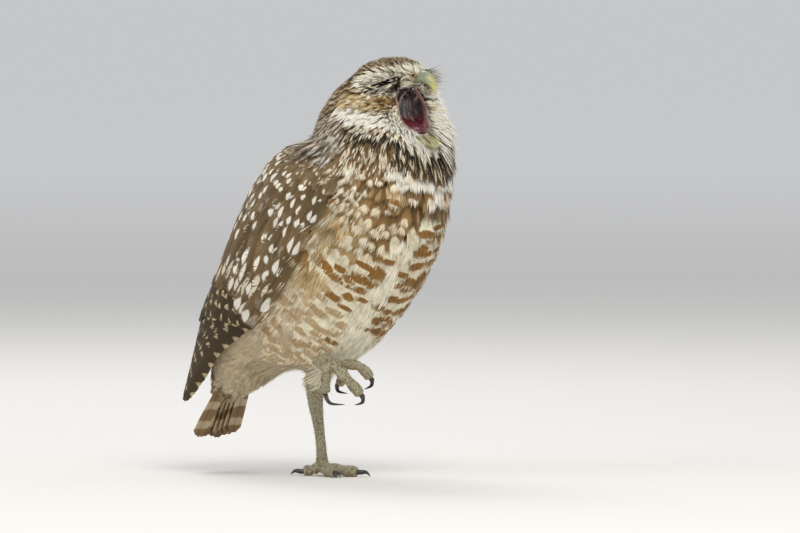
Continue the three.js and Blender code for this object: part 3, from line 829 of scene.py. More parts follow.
@dataclass
class Coat:
    """The small feathers of the body, neck and head, grown on the form row by row."""

    form: Form
    skin: Skin
    seed: int = 11

    def roots(self, growth: Growth, rows: tuple[float, float], keep: object) -> tuple[Array, Array]:
        """Where feathers of one growth are rooted.

        Rows lie a spacing apart, and so do the feathers of a row, each second row half a spacing
        on, all moved a little at random.

        Args:
            growth: the feathers' sizes.
            rows: the first and last row, from 0 at the vent to 1 at the crown.
            keep: a function of points that says which of them carry these feathers.

        Returns:
            The roots, and their places on the unwrap of the skin.
        """
        rng = np.random.default_rng(self.seed)
        cells = self.skin.cells
        up = np.concatenate([[0], np.cumsum(np.linalg.norm(np.diff(cells, axis=0), axis=2).mean(1))])
        up_at = np.linspace(0, 1, len(cells))
        first, last = np.interp(rows, up_at, up)
        places, unwraps = [], []
        for k, far in enumerate(np.arange(first, last, growth.spacing)):
            u = np.interp(far, up, up_at)
            i = min(int(u * (len(cells) - 1)), len(cells) - 2)
            t = u * (len(cells) - 1) - i
            ring = cells[i] * (1 - t) + cells[i + 1] * t
            ring = np.concatenate([ring, ring[:1]])
            run = np.concatenate([[0], np.cumsum(np.linalg.norm(np.diff(ring, axis=0), axis=1))])
            count = max(3, int(run[-1] / growth.spacing))
            at = (np.arange(count) + 0.5 * (k % 2)) * run[-1] / count
            at = (at + rng.normal(size=count) * growth.spacing * 0.16) % run[-1]
            places.append(np.stack([np.interp(at, run, ring[:, axis]) for axis in range(3)], 1))
            turn = np.interp(at, run, np.linspace(0, 1, len(ring)))
            unwraps.append(beside(turn, np.full(count, u)))
        roots, unwrap = np.concatenate(places), np.concatenate(unwraps)
        roots = roots + heading(roots) * (rng.normal(size=(len(roots), 1)) * growth.spacing * 0.2)
        kept = keep(roots)
        return roots[kept], unwrap[kept]

    def grow(self, growth: Growth, roots: Array, unwrap: Array, dress: dict[str, Array]) -> Surface:
        """The feathers on their roots.

        A shaft is walked along the lie of the coat in equal steps, each set back onto the form at a
        level that rises from the skin to the coat's outline. A strand runs beside the shaft at its
        share of the half width, which grows to six tenths of the length, and narrows to a point.

        Args:
            growth: the feathers' sizes.
            roots: where they grow.
            unwrap: the roots' places on the unwrap of the skin.
            dress: what each feather carries.

        Returns:
            All feathers as one surface.
        """
        rng = np.random.default_rng(self.seed + len(roots))
        count, rows, strips = len(roots), growth.rows, growth.strips
        size = growth.spacing * np.exp(rng.normal(size=count) * 0.1)
        length, half = size * growth.tall, size * growth.wide / 2
        tip = growth.stand * (0.4 + rng.random(count) * 1.2)
        lean = rng.normal(size=count) * 0.12 * growth.loose
        steps = np.linspace(0, 1, rows)
        shaft = np.zeros((count, rows, 3))
        ways = np.zeros((count, rows, 3))
        place = self.form.onto(roots, -growth.sunk)
        for i, t in enumerate(steps):
            normal = self.form.normal(place)
            way = heading(place)
            way = unit(way - normal * (way * normal).sum(1, keepdims=True))
            way = unit(way + np.cross(normal, way) * lean[:, None])
            shaft[:, i], ways[:, i] = place, way
            level = -growth.sunk * (1 - (t + 1 / rows)) ** 1.6 if t + 1 / rows < 1 else 0.0
            place = place + way * (length / (rows - 1))[:, None]
            place = self.form.onto(place, level + tip * t * t, 2)
        normal = self.form.normal(shaft)
        side = np.cross(normal, ways)
        share = (np.arange(strips) + 0.5) / strips * 2 - 1
        stray = rng.normal(size=(count, strips))
        share = share[None] + stray * 0.25 / strips
        reach = 1 - 0.22 * share**2 + rng.normal(size=(count, strips)) * growth.fray
        reach = np.clip(reach, 0.45, 1.12)
        along = steps[None, None] * reach[..., None]
        spread = np.interp(steps, (0, 0.6, 1), (0.35, 1.0, 0.92))
        at = along * (rows - 1)
        low = np.clip(np.floor(at).astype(int), 0, rows - 2)
        part = (at - low)[..., None]
        who = np.arange(count)[:, None, None]
        middle = shaft[who, low] * (1 - part) + shaft[who, low + 1] * part
        over = normal[who, low] * (1 - part) + normal[who, low + 1] * part
        aside = side[who, low] * (1 - part) + side[who, low + 1] * part
        out = share[..., None] * spread * half[:, None, None]
        camber = -0.1 * share[..., None] ** 2 * half[:, None, None] * steps
        ruffle = stray[..., None] * 0.06 * growth.loose * size[:, None, None] * steps**2
        spine = middle + aside * out[..., None] + over * (camber + ruffle)[..., None]
        thin = np.interp(steps, (0, 0.55, 0.85, 1), (0.8, 1.2, 0.95, 0.12))
        breadth = (half[:, None, None] / strips) * thin * spread * growth.barb
        breadth = aside * breadth[..., None]
        edges = np.stack([spine - breadth, spine + breadth], 3)
        share, thin = share[..., None], 0.9 * thin / strips
        across = beside(share - thin, share + thin)
        vane = beside(across, along[..., None], rng.random(count)[:, None, None, None] * 40)
        carried = {"vane": listed(vane), **worn(dress, strips * rows * 2)}
        bake = unwrap[:, None, None, None] + on_patch(vane)
        quads = many_quads(grid_quads(rows, 2), count * strips, rows * 2)
        return Surface(edges.reshape(-1, 3), quads, carried, bake.reshape(-1, 2))


@dataclass
class Skin:
    """One skin from vent to crown, inside the coat by its depth.

    Rays leave a path through the middle of the body. At the vent and the crown they swing from
    level to along the path, so that both ends close. The distance along a ray where it meets the
    wanted level is found by halving.
    """

    form: Form
    depth: float = 3.0
    path: tuple = ((-60, 50), (-45, 62), (-18, 84), (4, 112), (22, 138), (34, 160), (41, 176), (45, 200))
    leans: tuple = (39, 41, 41, 39, 34, 24, 10, 0)
    rows: int = 150
    around: int = 132
    cells: Array = field(init=False, repr=False)

    def __post_init__(self) -> None:
        """Finds the skin's points, row by row from the vent."""
        u = np.linspace(0, 1, self.rows)
        swing = np.interp(u, (0, 0.1, 0.8, 1), (-89.5, 0, 0, 89.5))
        stop = np.interp(u, (0, 0.1, 0.8, 1), (0, 0, len(self.path) - 1, len(self.path) - 1))
        centre = catmull(self.path, stop)
        back, ahead = leaning(catmull(np.array(self.leans)[:, None], stop))
        turn = angles(self.around)
        side = np.array([0.0, 1.0, 0.0])
        level = back * np.cos(turn)[None, :, None] + side * np.sin(turn)[None, :, None]
        swing = np.radians(swing)[:, None, None]
        rays = level * np.cos(swing) + ahead * np.sin(swing)
        start = beside(centre[:, 0], 0 * centre[:, 0], centre[:, 1])[:, None]
        near, far = np.zeros(rays.shape[:2]), np.full(rays.shape[:2], 75.0)
        for _ in range(16):
            half = (near + far) / 2
            inside = self.form.read(start + rays * half[..., None])[0] < -self.depth
            near, far = np.where(inside, half, near), np.where(inside, far, half)
        self.cells = start + rays * near[..., None]

    def surface(self, markings: Markings) -> Surface:
        """The skin as a mesh whose points carry the coat's ground colours."""
        points = listed(self.cells, self.cells[[0, -1]].mean(1))
        u, v = np.meshgrid(np.arange(self.around) / self.around, np.linspace(0, 1, self.rows))
        unwrap = listed(beside(u, v), np.array([[0.5, 0.0], [0.5, 1.0]]))
        carried = {"ground": markings.dress(points)["ground"]}
        return Surface(points, closed_quads(self.rows, self.around), carried, unwrap)


def closed_quads(rows: int, around: int) -> Array:
    """Faces of a tube of rings with a pole after the last ring at each end; around is even."""
    quads = grid_quads(rows, around, True)
    j = np.arange(0, around, 2)
    after, last = (j + 1) % around, (j + 2) % around
    end = (rows - 1) * around
    low = beside(np.full_like(j, rows * around), last, after, j)
    high = beside(np.full_like(j, rows * around + 1), end + j, end + after, end + last)
    return np.concatenate([quads, low, high])


def tube(
    path: tuple,
    radii: tuple,
    around: int = 24,
    steps: int = 40,
    flat: float = 1.0,
    section: object = None,
    round_off: float = 0.08,
) -> Surface:
    """A section carried along a smooth path.

    A ring is the path's point plus radius times cosine across and sine up. The radius runs smoothly
    and rounds off to the ends as a quarter circle.

    Args:
        path: points of the path.
        radii: radii, evenly spaced along it.
        around: points in a ring, an even number.
        steps: rings.
        flat: breadth over height.
        section: a function of angle and place along that gives factors across and up and a rise.
        round_off: the share of the length that rounds off at each end.

    Returns:
        A closed surface that carries tube: turn, place along, and millimetres along.
    """
    t = 0.5 - 0.5 * np.cos(np.linspace(0.02, 0.98, steps) * np.pi)
    t = 0.5 * t + 0.5 * np.linspace(0.002, 0.998, steps)
    centre = catmull(path, t * (len(path) - 1))
    ahead = unit(catmull(path, (t + 1e-3) * (len(path) - 1)) - catmull(path, (t - 1e-3) * (len(path) - 1)))
    up = np.where(np.abs(ahead[:, 2:]).mean() > 0.9, np.array([1.0, 0, 0]), np.array([0, 0, 1.0]))
    across = unit(np.cross(up, ahead))
    rise = np.cross(ahead, across)
    radius = catmull(np.array(radii, float)[:, None], t * (len(radii) - 1))[:, 0]
    ends = np.minimum(1, np.minimum(t, 1 - t) / round_off)
    radius = np.maximum(radius, 0.02) * np.sqrt(np.maximum(1 - (1 - ends) ** 2, 1e-4))
    turn = angles(around)
    wide, high = flat * np.cos(turn)[None], np.sin(turn)[None]
    if section is not None:
        more = section(turn[None], t[:, None])
        wide, high = wide * more[0], high * more[1] + more[2]
    ring = across[:, None] * (radius[:, None] * wide)[..., None]
    ring = ring + rise[:, None] * (radius[:, None] * high)[..., None]
    points = listed(centre[:, None] + ring, centre[[0, -1]])
    run = np.concatenate([[0], np.cumsum(np.linalg.norm(np.diff(centre, axis=0), axis=1))])
    grid = beside(turn[None] / (2 * np.pi), t[:, None], run[:, None])
    carried = listed(grid, np.array([[0.5, 0, 0], [0.5, 1, run[-1]]]))
    bake = 0.02 + 0.96 * carried[:, :2]
    return Surface(points, closed_quads(steps, around), {"tube": carried}, bake)


def sheet_quads(rows: int, cols: int) -> Array:
    """Faces of a closed sheet: an upper and a lower grid of points, joined along their edges."""
    low = rows * cols
    over = grid_quads(rows, cols)
    under = over[:, ::-1] + low
    row, col = np.arange(rows), np.arange(cols)
    far = row[1:] * cols + cols - 1, (rows - 1) * cols + col[-2::-1]
    edge = np.concatenate([col, *far, row[-2:0:-1] * cols])
    after = np.roll(edge, -1)
    return np.concatenate([over, under, beside(after, edge, edge + low, after + low)])


@dataclass(frozen=True)
class Tier:
    """A row of long feathers: first and last root and tip as (station, degrees), and their sizes."""

    count: int
    roots: tuple[tuple[float, float], tuple[float, float]]
    tips: tuple[tuple[float, float], tuple[float, float]]
    width: float
    lift: float
    plume: Plume
    reach: float = 0.0
    low: float = 1.3


FLIGHT = Plume((0.056, 0.036, 0.016), (0.42, 0.33, 0.20), Marking.NOTCHES, 1.0, 0.12)
TERTIAL = Plume((0.115, 0.073, 0.033), (0.62, 0.54, 0.40), Marking.TWIN_SPOTS, 1.0, 0.1)
COVERT = Plume((0.165, 0.110, 0.053), (0.82, 0.78, 0.68), Marking.ROUND_SPOTS, 1.0, 0.12)
GREAT_COVERT = Plume((0.13, 0.084, 0.039), (0.66, 0.59, 0.45), Marking.ROUND_SPOTS, 1.0, 0.12)
SMALL_COVERT = Plume((0.18, 0.122, 0.06), (0.70, 0.62, 0.48), Marking.SMALL_SPOTS, 0.9, 0.14)


@dataclass
class Wing:
    """A folded wing: flight feathers in tiers under rows of coverts, on a thin pad."""

    side: int
    seed: int = 3
    rows: int = 11
    cols: int = 7
    thick: float = 0.3
    barbs: int = 34
    tiers: tuple[Tier, ...] = (
        Tier(10, ((3.5, 101), (3.6, 74)), ((1.0, 86), (1.6, 38)), 9.0, 1.9, FLIGHT, 0.9),
        Tier(9, ((4.4, 99), (4.6, 56)), ((2.7, 96), (1.9, 46)), 11, 3.3, FLIGHT),
        Tier(5, ((4.8, 46), (4.9, 12)), ((1.9, 40), (1.6, 10)), 12.5, 3.5, TERTIAL),
        Tier(9, ((4.9, 99), (5.0, 48)), ((3.35, 99), (2.7, 46)), 10.5, 4.2, GREAT_COVERT),
    )
    covert_rows: int = 12
    covert_from: float = 3.0
    covert_to: float = 6.15

    def vanes(
        self, root: Array, tip: Array, width: Array, low: Array, lift: Array, plumes: list[Plume]
    ) -> Surface:
        """Vanes laid on the wing's form: for each a thin closed sheet, and ribbons of barbs on it.

        Station and angle run evenly from root to tip. The half width opens to the middle and closes
        as a quarter circle at the tip, the height rises early, and across it the vane drops at its
        edges and tilts like a shingle. A barb runs from the shaft to just past the edge, tipwards.

        Args:
            root: stations and degrees of the roots.
            tip: the same of the tips.
            width: full widths.
            low: heights over the form at the roots.
            lift: heights at the tips.
            plumes: the plume of each.

        Returns:
            The vanes as one surface.
        """
        rng = np.random.default_rng(self.seed + len(root))
        count = len(root)
        form = Loft(WING_FORM)
        phase = rng.random((count, 1, 1)) * 6
        own = rng.random((count, 1, 1)) * 40
        tall = np.linalg.norm((tip - root) * (30.0, 0.7), axis=1)

        def spot(c: Array, t: Array, over: Array | float = 0.0) -> tuple[Array, Array]:
            """Points and normals of all vanes at places across and along, raised by a height."""
            s = root[:, 0, None, None] * (1 - t) + tip[:, 0, None, None] * t
            psi = root[:, 1, None, None] * (1 - t) + tip[:, 1, None, None] * t
            _, _, _, depth, broad = np.moveaxis(catmull(WING_FORM, s), -1, 0)
            a = np.radians(psi)
            degree = np.hypot(depth * np.sin(a), broad * np.cos(a)) * np.pi / 180
            open_ = np.interp(t, (0, 0.45, 0.8), (0.55, 1, 0.96))
            close = np.sqrt(np.maximum(1 - np.clip((t - 0.8) / 0.2, 0, 1) ** 2, 0.012))
            half = width[:, None, None] / 2 * open_ * close
            high = lift[:, None, None]
            bottom = low[:, None, None]
            rise = np.where(t < 0.4, bottom + (high - 0.4 - bottom) * t / 0.4, high - 0.4 + (t - 0.4) / 1.5)
            camber = -0.25 * c**2 - 0.55 * c * np.minimum(1, 2 * t)
            wave = 0.12 * np.sin(c * 3 + t * 7 + phase)
            return form.point(s, self.side * (psi + c * half / degree), rise + camber + wave + over)

        t = (np.linspace(0, 1, self.rows) ** 0.85)[None, :, None]
        t = np.broadcast_to(t, (count, self.rows, self.cols))
        c = np.broadcast_to(np.linspace(-1, 1, self.cols), t.shape)
        place, normal = spot(c, t)
        thin = normal * (self.thick * (1 - 0.6 * np.abs(c)) * (1 - 0.5 * t))[..., None] / 2
        both = np.stack([place + thin, place - thin], 1)
        vane = beside(c, t, own)
        vane = np.stack([vane, vane], 1)
        each = 2 * self.rows * self.cols
        quads = many_quads(sheet_quads(self.rows, self.cols), count, each)
        if self.side < 0:
            quads = quads[:, ::-1]

        barbs, steps = self.barbs, 4
        start = (np.arange(barbs) + 0.5) / barbs
        out = np.linspace(0.04, 1, steps)
        reach = 1.03 + rng.normal(size=(count, 2 * barbs, 1)) * 0.05
        web = np.repeat([-1.0, 1.0], barbs)[None, :, None]
        along = np.tile(start, 2)[None, :, None] * 0.92 + 0.1 * out**0.8
        along = along + rng.normal(size=(count, 2 * barbs, 1)) * 0.004
        broad = 0.62 / barbs * (1 - 0.35 * out)
        c = np.repeat((web * reach * out)[..., None], 2, -1).reshape(count, 2 * barbs, -1)
        t = beside(along - broad, along + broad).reshape(count, 2 * barbs, -1)
        t = np.clip(t, 0, 1)
        ribbon, _ = spot(c, t, 0.22 + 0.05 * rng.random((count, 2 * barbs, 1)))
        threads = beside(c, t, own)
        lines = many_quads(grid_quads(steps, 2), count * 2 * barbs, steps * 2) + count * each
        turned = (np.arange(len(lines)) // ((steps - 1) * barbs)) % 2 == (1 if self.side < 0 else 0)
        lines = np.where(turned[:, None], lines[:, ::-1], lines)

        dress = Markings.of(plumes, np.arange(count), rng)
        dress["row"][:, :2] *= (28 / tall)[:, None] ** 0.5
        carried = {"vane": listed(vane, threads)}
        flat, raised = worn(dress, each), worn(dress, 4 * steps * barbs)
        carried.update({key: listed(flat[key], raised[key]) for key in dress})
        unwrap = beside(root[:, 1] / 120 + 0.05, 0.03 + 0.94 * tip[:, 0] / len(WING_FORM))
        bake = unwrap[:, None, None, None] + on_patch(vane), unwrap[:, None, None] + on_patch(threads)
        return Surface(listed(both, ribbon), listed(quads, lines), carried, listed(*bake))

    def laid(self, rows: list[Array], plumes: list[Plume]) -> Surface:
        """Vanes from rows of root, tip, width and heights at root and tip."""
        rows = np.concatenate(rows)
        return self.vanes(rows[:, :2], rows[:, 2:4], *rows[:, 4:].T, plumes)

    def flight(self) -> Surface:
        """The tiers of flight feathers, tertials and greater coverts."""
        rng = np.random.default_rng(self.seed)
        rows, plumes = [], []
        for tier in self.tiers:
            t = np.linspace(0, 1, tier.count)[:, None]
            root = np.array(tier.roots[0]) * (1 - t) + np.array(tier.roots[1]) * t
            tip = np.array(tier.tips[0]) * (1 - t) + np.array(tier.tips[1]) * t
            tip[:, :1] -= tier.reach * np.sin(np.pi * np.minimum(1, t * 1.1 + 0.12))
            tip = tip + rng.normal(size=tip.shape) * (0.03, 0.5)
            size = beside(tier.width, tier.low, tier.lift + np.linspace(0, 0.5, tier.count))
            rows.append(np.concatenate([root, tip, size], 1))
            plumes += [tier.plume] * tier.count
        return self.laid(rows, plumes)

    def coverts(self) -> Surface:
        """Rows of coverts and scapulars, each row half a feather on from the one below it."""
        rng = np.random.default_rng(self.seed + 1)
        rows, plumes = [], []
        for k in range(self.covert_rows):
            share = k / (self.covert_rows - 1)
            station = self.covert_from + (self.covert_to - self.covert_from) * share
            width = 10.8 - 6.0 * share
            edge = 99 - 5 * share
            count = int((edge - 9) * 0.86 / (width * 0.72))
            psi = np.linspace(9, edge, count) + (0.5 * (k % 2) - 0.25) * width * 0.72
            tip = beside(station, psi) + rng.normal(size=(count, 2)) * (0.06, 1.0)
            length = 1.05 - 0.5 * share
            root = tip + beside(length, (52 - psi) * 0.06)
            root[:, 0] = np.minimum(root[:, 0], 6.75)
            size = np.full((count, 3), (width, 1.6, 4.5 - 0.6 * share))
            size = size * np.exp(rng.normal(size=(count, 1)) * (0.07, 0, 0))
            rows.append(np.concatenate([root, tip, size], 1))
            plumes += [SMALL_COVERT if share > 0.75 else COVERT] * count
        return self.laid(rows, plumes)

    def spine(self) -> Surface:
        """Two staggered columns of scapulars that lie over the seam between the wings."""
        rng = np.random.default_rng(self.seed + 2)
        count = 24
        share = np.linspace(0, 1, count)
        tip = beside(1.7 + 4.55 * share, np.where(np.arange(count) % 2, 3.4, -3.4))
        tip = tip + rng.normal(size=tip.shape) * (0.03, 0.6)
        root = tip + beside(1.05 - 0.45 * share, 0 * share)
        root[:, 0] = np.minimum(root[:, 0], 6.8)
        plumes = [GREAT_COVERT if far < 0.25 else COVERT if far < 0.8 else SMALL_COVERT for far in share]
        return self.vanes(root, tip, 12.5 - 5.5 * share, 3.0 + 0 * share, 5.9 - 0.6 * share, plumes)

    def pad(self) -> Surface:
        """The thin flesh under the vanes, a lens that lies on the trunk and sinks past the rump."""
        rows, cols = 40, 24
        share = np.linspace(0, 1, rows)
        s = 1.5 + (6.3 - 1.5) * share
        narrow = 1 - np.clip((2.6 - s) / 1.3, 0, 1) * 0.6
        middle = 55 - 12 * (1 - narrow)
        psi = middle[:, None] + 88 * narrow[:, None] * (np.linspace(0, 1, cols) - 0.5)
        rest = -2.2 + 0.6 * smooth(2.4, 3.0, s)
        swell = np.sqrt(np.sin(np.pi * (0.03 + 0.94 * share)))[:, None]
        swell = swell * np.sqrt(np.sin(np.pi * np.linspace(0.03, 0.97, cols)))
        form = Loft(WING_FORM)
        s = np.broadcast_to(s[:, None], psi.shape)
        over, _ = form.point(s, self.side * psi, rest[:, None] + 0.2 + 3.4 * swell)
        under, _ = form.point(s, self.side * psi, rest[:, None] - 0.2)
        points = listed(over, under)
        quads = sheet_quads(rows, cols)
        if self.side < 0:
            quads = quads[:, ::-1]
        dress = Markings.of([Plume(BROWN, BROWN)], np.zeros(1, int), np.random.default_rng(1))
        flat = beside(psi / 120 + 0.05, 0.03 + 0.94 * s / len(WING_FORM))
        carried = {"vane": np.full((len(points), 3), (0, 0.7, 0)), **worn(dress, len(points))}
        return Surface(points, quads, carried, listed(flat, flat))

    def build(self, finish: Material, spotted: Material) -> None:
        """Makes the wing's pieces, of which the long feathers stand for the wing's node."""
        name = "left" if self.side > 0 else "right"
        long = Surface.joined([self.pad(), self.flight()])
        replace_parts(long.piece(f"plumage_flight_{name}", "wing_feathers", finish), f"wing_{name}")
        rows = [self.coverts()] + ([self.spine()] if self.side > 0 else [])
        Surface.joined(rows).piece(f"plumage_coverts_{name}", "wing_feathers", spotted)


@dataclass
class Tail:
    """Twelve tail feathers in a narrow fan from the rump."""

    x: float = -52.5
    z: float = 68
    lean: float = 30.4
    length: float = 57
    pairs: int = 6
    spread: float = 2.6
    step: float = 0.95
    width: float = 11
    rows: int = 18
    cols: int = 9
    thick: float = 0.35
    vane: Plume = Plume((0.20, 0.12, 0.052), (0.58, 0.45, 0.27), Marking.BANDS, 0.7)
    outer: Plume = Plume((0.27, 0.17, 0.08), (0.66, 0.54, 0.36), Marking.BANDS, 0.7)

    def feathers(self) -> Surface:
        """The feathers as closed sheets.

        A feather's middle runs down the leaning tail and bends forward with the square of its
        place. Its half width opens to three quarters of its length and closes in a round tip.
        """
        dorsal, up = leaning(self.lean)
        t, c = np.linspace(0, 1, self.rows), np.linspace(-1, 1, self.cols)
        parts = []
        plumes = [self.vane] * 4 + [self.outer] * 2
        rng = np.random.default_rng(5)
        for side in (-1, 1):
            for k in range(self.pairs):
                open_ = np.interp(t, (0, 0.4, 0.75, 0.93), (0.5, 0.8, 1, 1))
                close = np.sqrt(np.maximum(1 - np.clip((t - 0.93) / 0.07, 0, 1) ** 2, 0.1))
                half = self.width / 2 * open_ * close
                y = side * ((1 + 0.9 * k) * (1 - t) + (1.6 + self.spread * k) * t)
                long = self.length - 0.9 * k + rng.normal() * 0.7
                middle = np.array([self.x, 0, self.z]) - up * (long * t)[:, None]
                drop = -self.step * k - (0.45 if side > 0 else 0) - 2.4 * t * t + 1.2
                middle = middle + dorsal * drop[:, None]
                middle[:, 1] = y
                place = middle[:, None] + np.array([0, 1.0, 0]) * (c * half[:, None])[..., None]
                place = place - dorsal * (0.5 * c**2)[None, :, None]
                thin = self.thick * (1 - 0.6 * np.abs(c)) * (1 - 0.5 * t[:, None])
                shaft = 0.35 * np.exp(-((c / 0.1) ** 2))
                over = place + dorsal * (thin / 2 + shaft)[..., None]
                under = place - dorsal * (thin / 2)[..., None]
                own = rng.random() * 40
                vane = beside(c[None], t[:, None], own)
                vane = listed(vane, vane)
                dress = Markings.of([plumes[k]], np.zeros(1, int), rng)
                carried = {"vane": vane, **worn(dress, len(vane))}
                centre = np.array([0.5 + side * (0.03 + 0.07 * k), 0.5])
                bake = centre + beside(vane[:, 0] * 0.5, vane[:, 1] - 0.5) * np.array([0.05, 0.9])
                quads = sheet_quads(self.rows, self.cols)[:, ::-1]
                parts.append(Surface(listed(over, under), quads, carried, bake))
        return Surface.joined(parts)

    def build(self, finish: Material) -> bpy.types.Object:
        """Makes the tail's piece, which stands for the tail's node."""
        made = self.feathers().piece("plumage_tail", "tail_feathers", finish)
        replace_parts(made, "tail")
        return made


@dataclass(frozen=True)
class HornFinish:
    """Smooth horn that turns from one colour at its root to another at its tip, with growth lines."""

    name: str
    root: Triple
    tip: Triple
    roughness: float = 0.32
    turns_at: tuple[float, float] = (0.35, 0.8)
    inside: Triple | None = None

    def material(self) -> Material:
        """Builds the material; it reads how far along and round its tube a point lies."""
        sh = Shader(self.name)
        turn, along, run = sh.carried("tube")
        at = sh.place()
        cloud = sh.noise(at, 260.0, 3.0, 0.6)
        share = sh.plus(along, sh.times(sh.minus(cloud, 0.5), 0.35))
        colour = sh.mix(sh.steps(share, *self.turns_at), self.root, self.tip)
        if self.inside:
            hollow = sh.times(sh.steps(turn, 0.06, 0.1), sh.steps(turn, 0.44, 0.4))
            colour = sh.mix(hollow, colour, self.inside)
        line = sh.noise(sh.vector(sh.times(turn, 14.0), sh.times(run, 0.5), along), 1.5, 4.0)
        tone = sh.steps(line, 0.3, 0.7, (0.9, 1.06))
        colour = sh.shade(colour, tone)
        sh.bump(line, 0.00006, 0.4)
        rough = sh.steps(cloud, 0.2, 0.8, (self.roughness * 0.8, self.roughness * 1.4))
        return sh.finish(colour, rough, {"Coat Weight": 0.15, "Coat Roughness": 0.2})


@dataclass(frozen=True)
class ScaleFinish:
    """Bare skin in small raised scales, darker in the furrows, with pads of another colour below."""

    name: str
    light: Triple
    dark: Triple
    grain: float = 900.0
    pad: Triple = (0.46, 0.30, 0.09)
    speckle: float = 0.5

    def material(self) -> Material:
        """Builds the material from cells and noise on the object's own coordinates."""
        sh = Shader(self.name)
        at = sh.place()
        grain = {"Vector": at, "Scale": self.grain, "Randomness": 0.9}
        cells = sh.node("TexVoronoi", grain, feature="DISTANCE_TO_EDGE")
        rise = sh.steps(cells.outputs["Distance"], 0.0, 0.28)
        tint = sh.node("TexVoronoi", grain)
        pick = sh.node("SeparateColor", {0: tint.outputs["Color"]}).outputs[0]
        cloud = sh.noise(at, 150.0, 3.0)
        share = sh.plus(sh.times(pick, self.speckle), sh.times(cloud, 1 - self.speckle))
        colour = sh.mix(sh.steps(share, 0.3, 0.62), self.dark, self.light)
        colour = sh.mix(sh.times(sh.minus(1.0, rise), 0.6), colour, self.dark)
        below = sh.carried("under")[0]
        colour = sh.mix(sh.times(below, 0.8), colour, self.pad)
        sh.bump(rise, 0.00035, 0.8)
        more = {"Subsurface Weight": 0.06, "Subsurface Scale": 0.002}
        return sh.finish(colour, sh.steps(cloud, 0.3, 0.7, (0.5, 0.7)), more)


@dataclass(frozen=True)
class MouthFinish:
    """Wet lining: grey-purple above, crimson on the floor, pink to the rim, with painted shade and
    highlights.
    """

    name: str
    roof: Triple = (0.25, 0.195, 0.18)
    floor: Triple = (0.17, 0.019, 0.035)
    rim: Triple = (0.52, 0.21, 0.21)
    middle: Triple = (0.060, 0.0, 0.194)
    shine: float = 0.22

    def material(self) -> Material:
        """Builds the material from the height and depth of a point in the mouth."""
        sh = Shader(self.name)
        at = sh.place()
        x, y, z = sh.split(at)
        cloud = sh.noise(at, 220.0, 4.0, 0.6)
        veins = sh.noise(at, 700.0, 3.0, 0.6)
        wander = sh.times(sh.minus(cloud, 0.5), 0.008)
        height = sh.plus(sh.minus(z, self.middle[2]), wander)
        colour = sh.mix(sh.steps(height, 0.0015, -0.0045), self.roof, self.floor)
        # Painted shade: the top of the mouth, under the bill, darkens to near black.
        colour = sh.mix(sh.steps(height, 0.005, 0.0115), colour, (0.035, 0.026, 0.026))
        aside = sh.plus(sh.size(y), wander)
        front = sh.plus(sh.minus(x, self.middle[0]), wander)
        # Painted shade on the side walls above the floor, leaving the middle of the roof lighter.
        dark = sh.times(sh.steps(aside, 0.0015, 0.0035), sh.steps(height, -0.003, 0.001, (0.0, 0.75)))
        colour = sh.mix(dark, colour, (0.05, 0.03, 0.034))
        edge = sh.times(sh.steps(aside, 0.006, 0.008), sh.steps(front, -0.0015, 0.001))
        run = sh.vector(sh.times(x, 70.0), sh.times(y, 760.0), sh.times(z, 110.0))
        highlight_and_shade_streaks = sh.noise(run, 1.0, 2.0)
        # Streaks in the lining: pale ones are painted highlights, near-black ones painted shade.
        colour = sh.mix(sh.steps(highlight_and_shade_streaks, 0.53, 0.62, (0.0, 0.75)), colour, (0.62, 0.48, 0.46))
        colour = sh.mix(sh.steps(highlight_and_shade_streaks, 0.47, 0.38, (0.0, 0.85)), colour, (0.022, 0.014, 0.014))
        colour = sh.mix(sh.times(edge, 0.92), colour, self.rim)
        tone = sh.steps(veins, 0.3, 0.75, (0.85, 1.12))
        colour = sh.shade(colour, tone)
        sh.bump(veins, 0.0004, 0.5)
        sh.bump(cloud, 0.0012, 0.5)
        wet = {"Coat Weight": 1.0, "Coat Roughness": 0.1}
        return sh.finish(colour, self.shine, {**wet, "Subsurface Weight": 0.1, "Subsurface Scale": 0.002})


@dataclass(frozen=True)
class SkinFinish:
    """Bare skin with fine folds in one colour, mottled with another."""

    name: str
    colour: Triple
    mottle: Triple
    roughness: float = 0.5

    def material(self) -> Material:
        """Builds the material."""
        sh = Shader(self.name)
        at = sh.place()
        cloud = sh.noise(at, 420.0, 4.0, 0.6)
        fine = sh.noise(at, 2200.0, 3.0)
        colour = sh.mix(sh.steps(cloud, 0.35, 0.7), self.colour, self.mottle)
        sh.bump(fine, 0.00025, 0.6)
        rough = sh.steps(fine, 0.2, 0.8, (self.roughness * 0.8, self.roughness * 1.2))
        return sh.finish(colour, rough, {"Subsurface Weight": 0.1, "Subsurface Scale": 0.0015})


@dataclass(frozen=True)
class UnderFinish:
    """The skin under the coat: the coat's ground colours, darkened as painted shade, with a downy mottle.
    """

    name: str

    def material(self) -> Material:
        """Builds the material from the ground colour that the skin's points carry."""
        sh = Shader(self.name)
        down = sh.noise(sh.place(), 900.0, 4.0, 0.7)
        # Half to 0.85 of the ground colour: painted shade under the feathers, mottled by the down noise.
        tone = sh.steps(down, 0.25, 0.75, (0.5, 0.85))
        colour = sh.shade(sh.colour("ground"), tone)
        sh.bump(down, 0.0006, 0.8)
        return sh.finish(colour, 0.9)


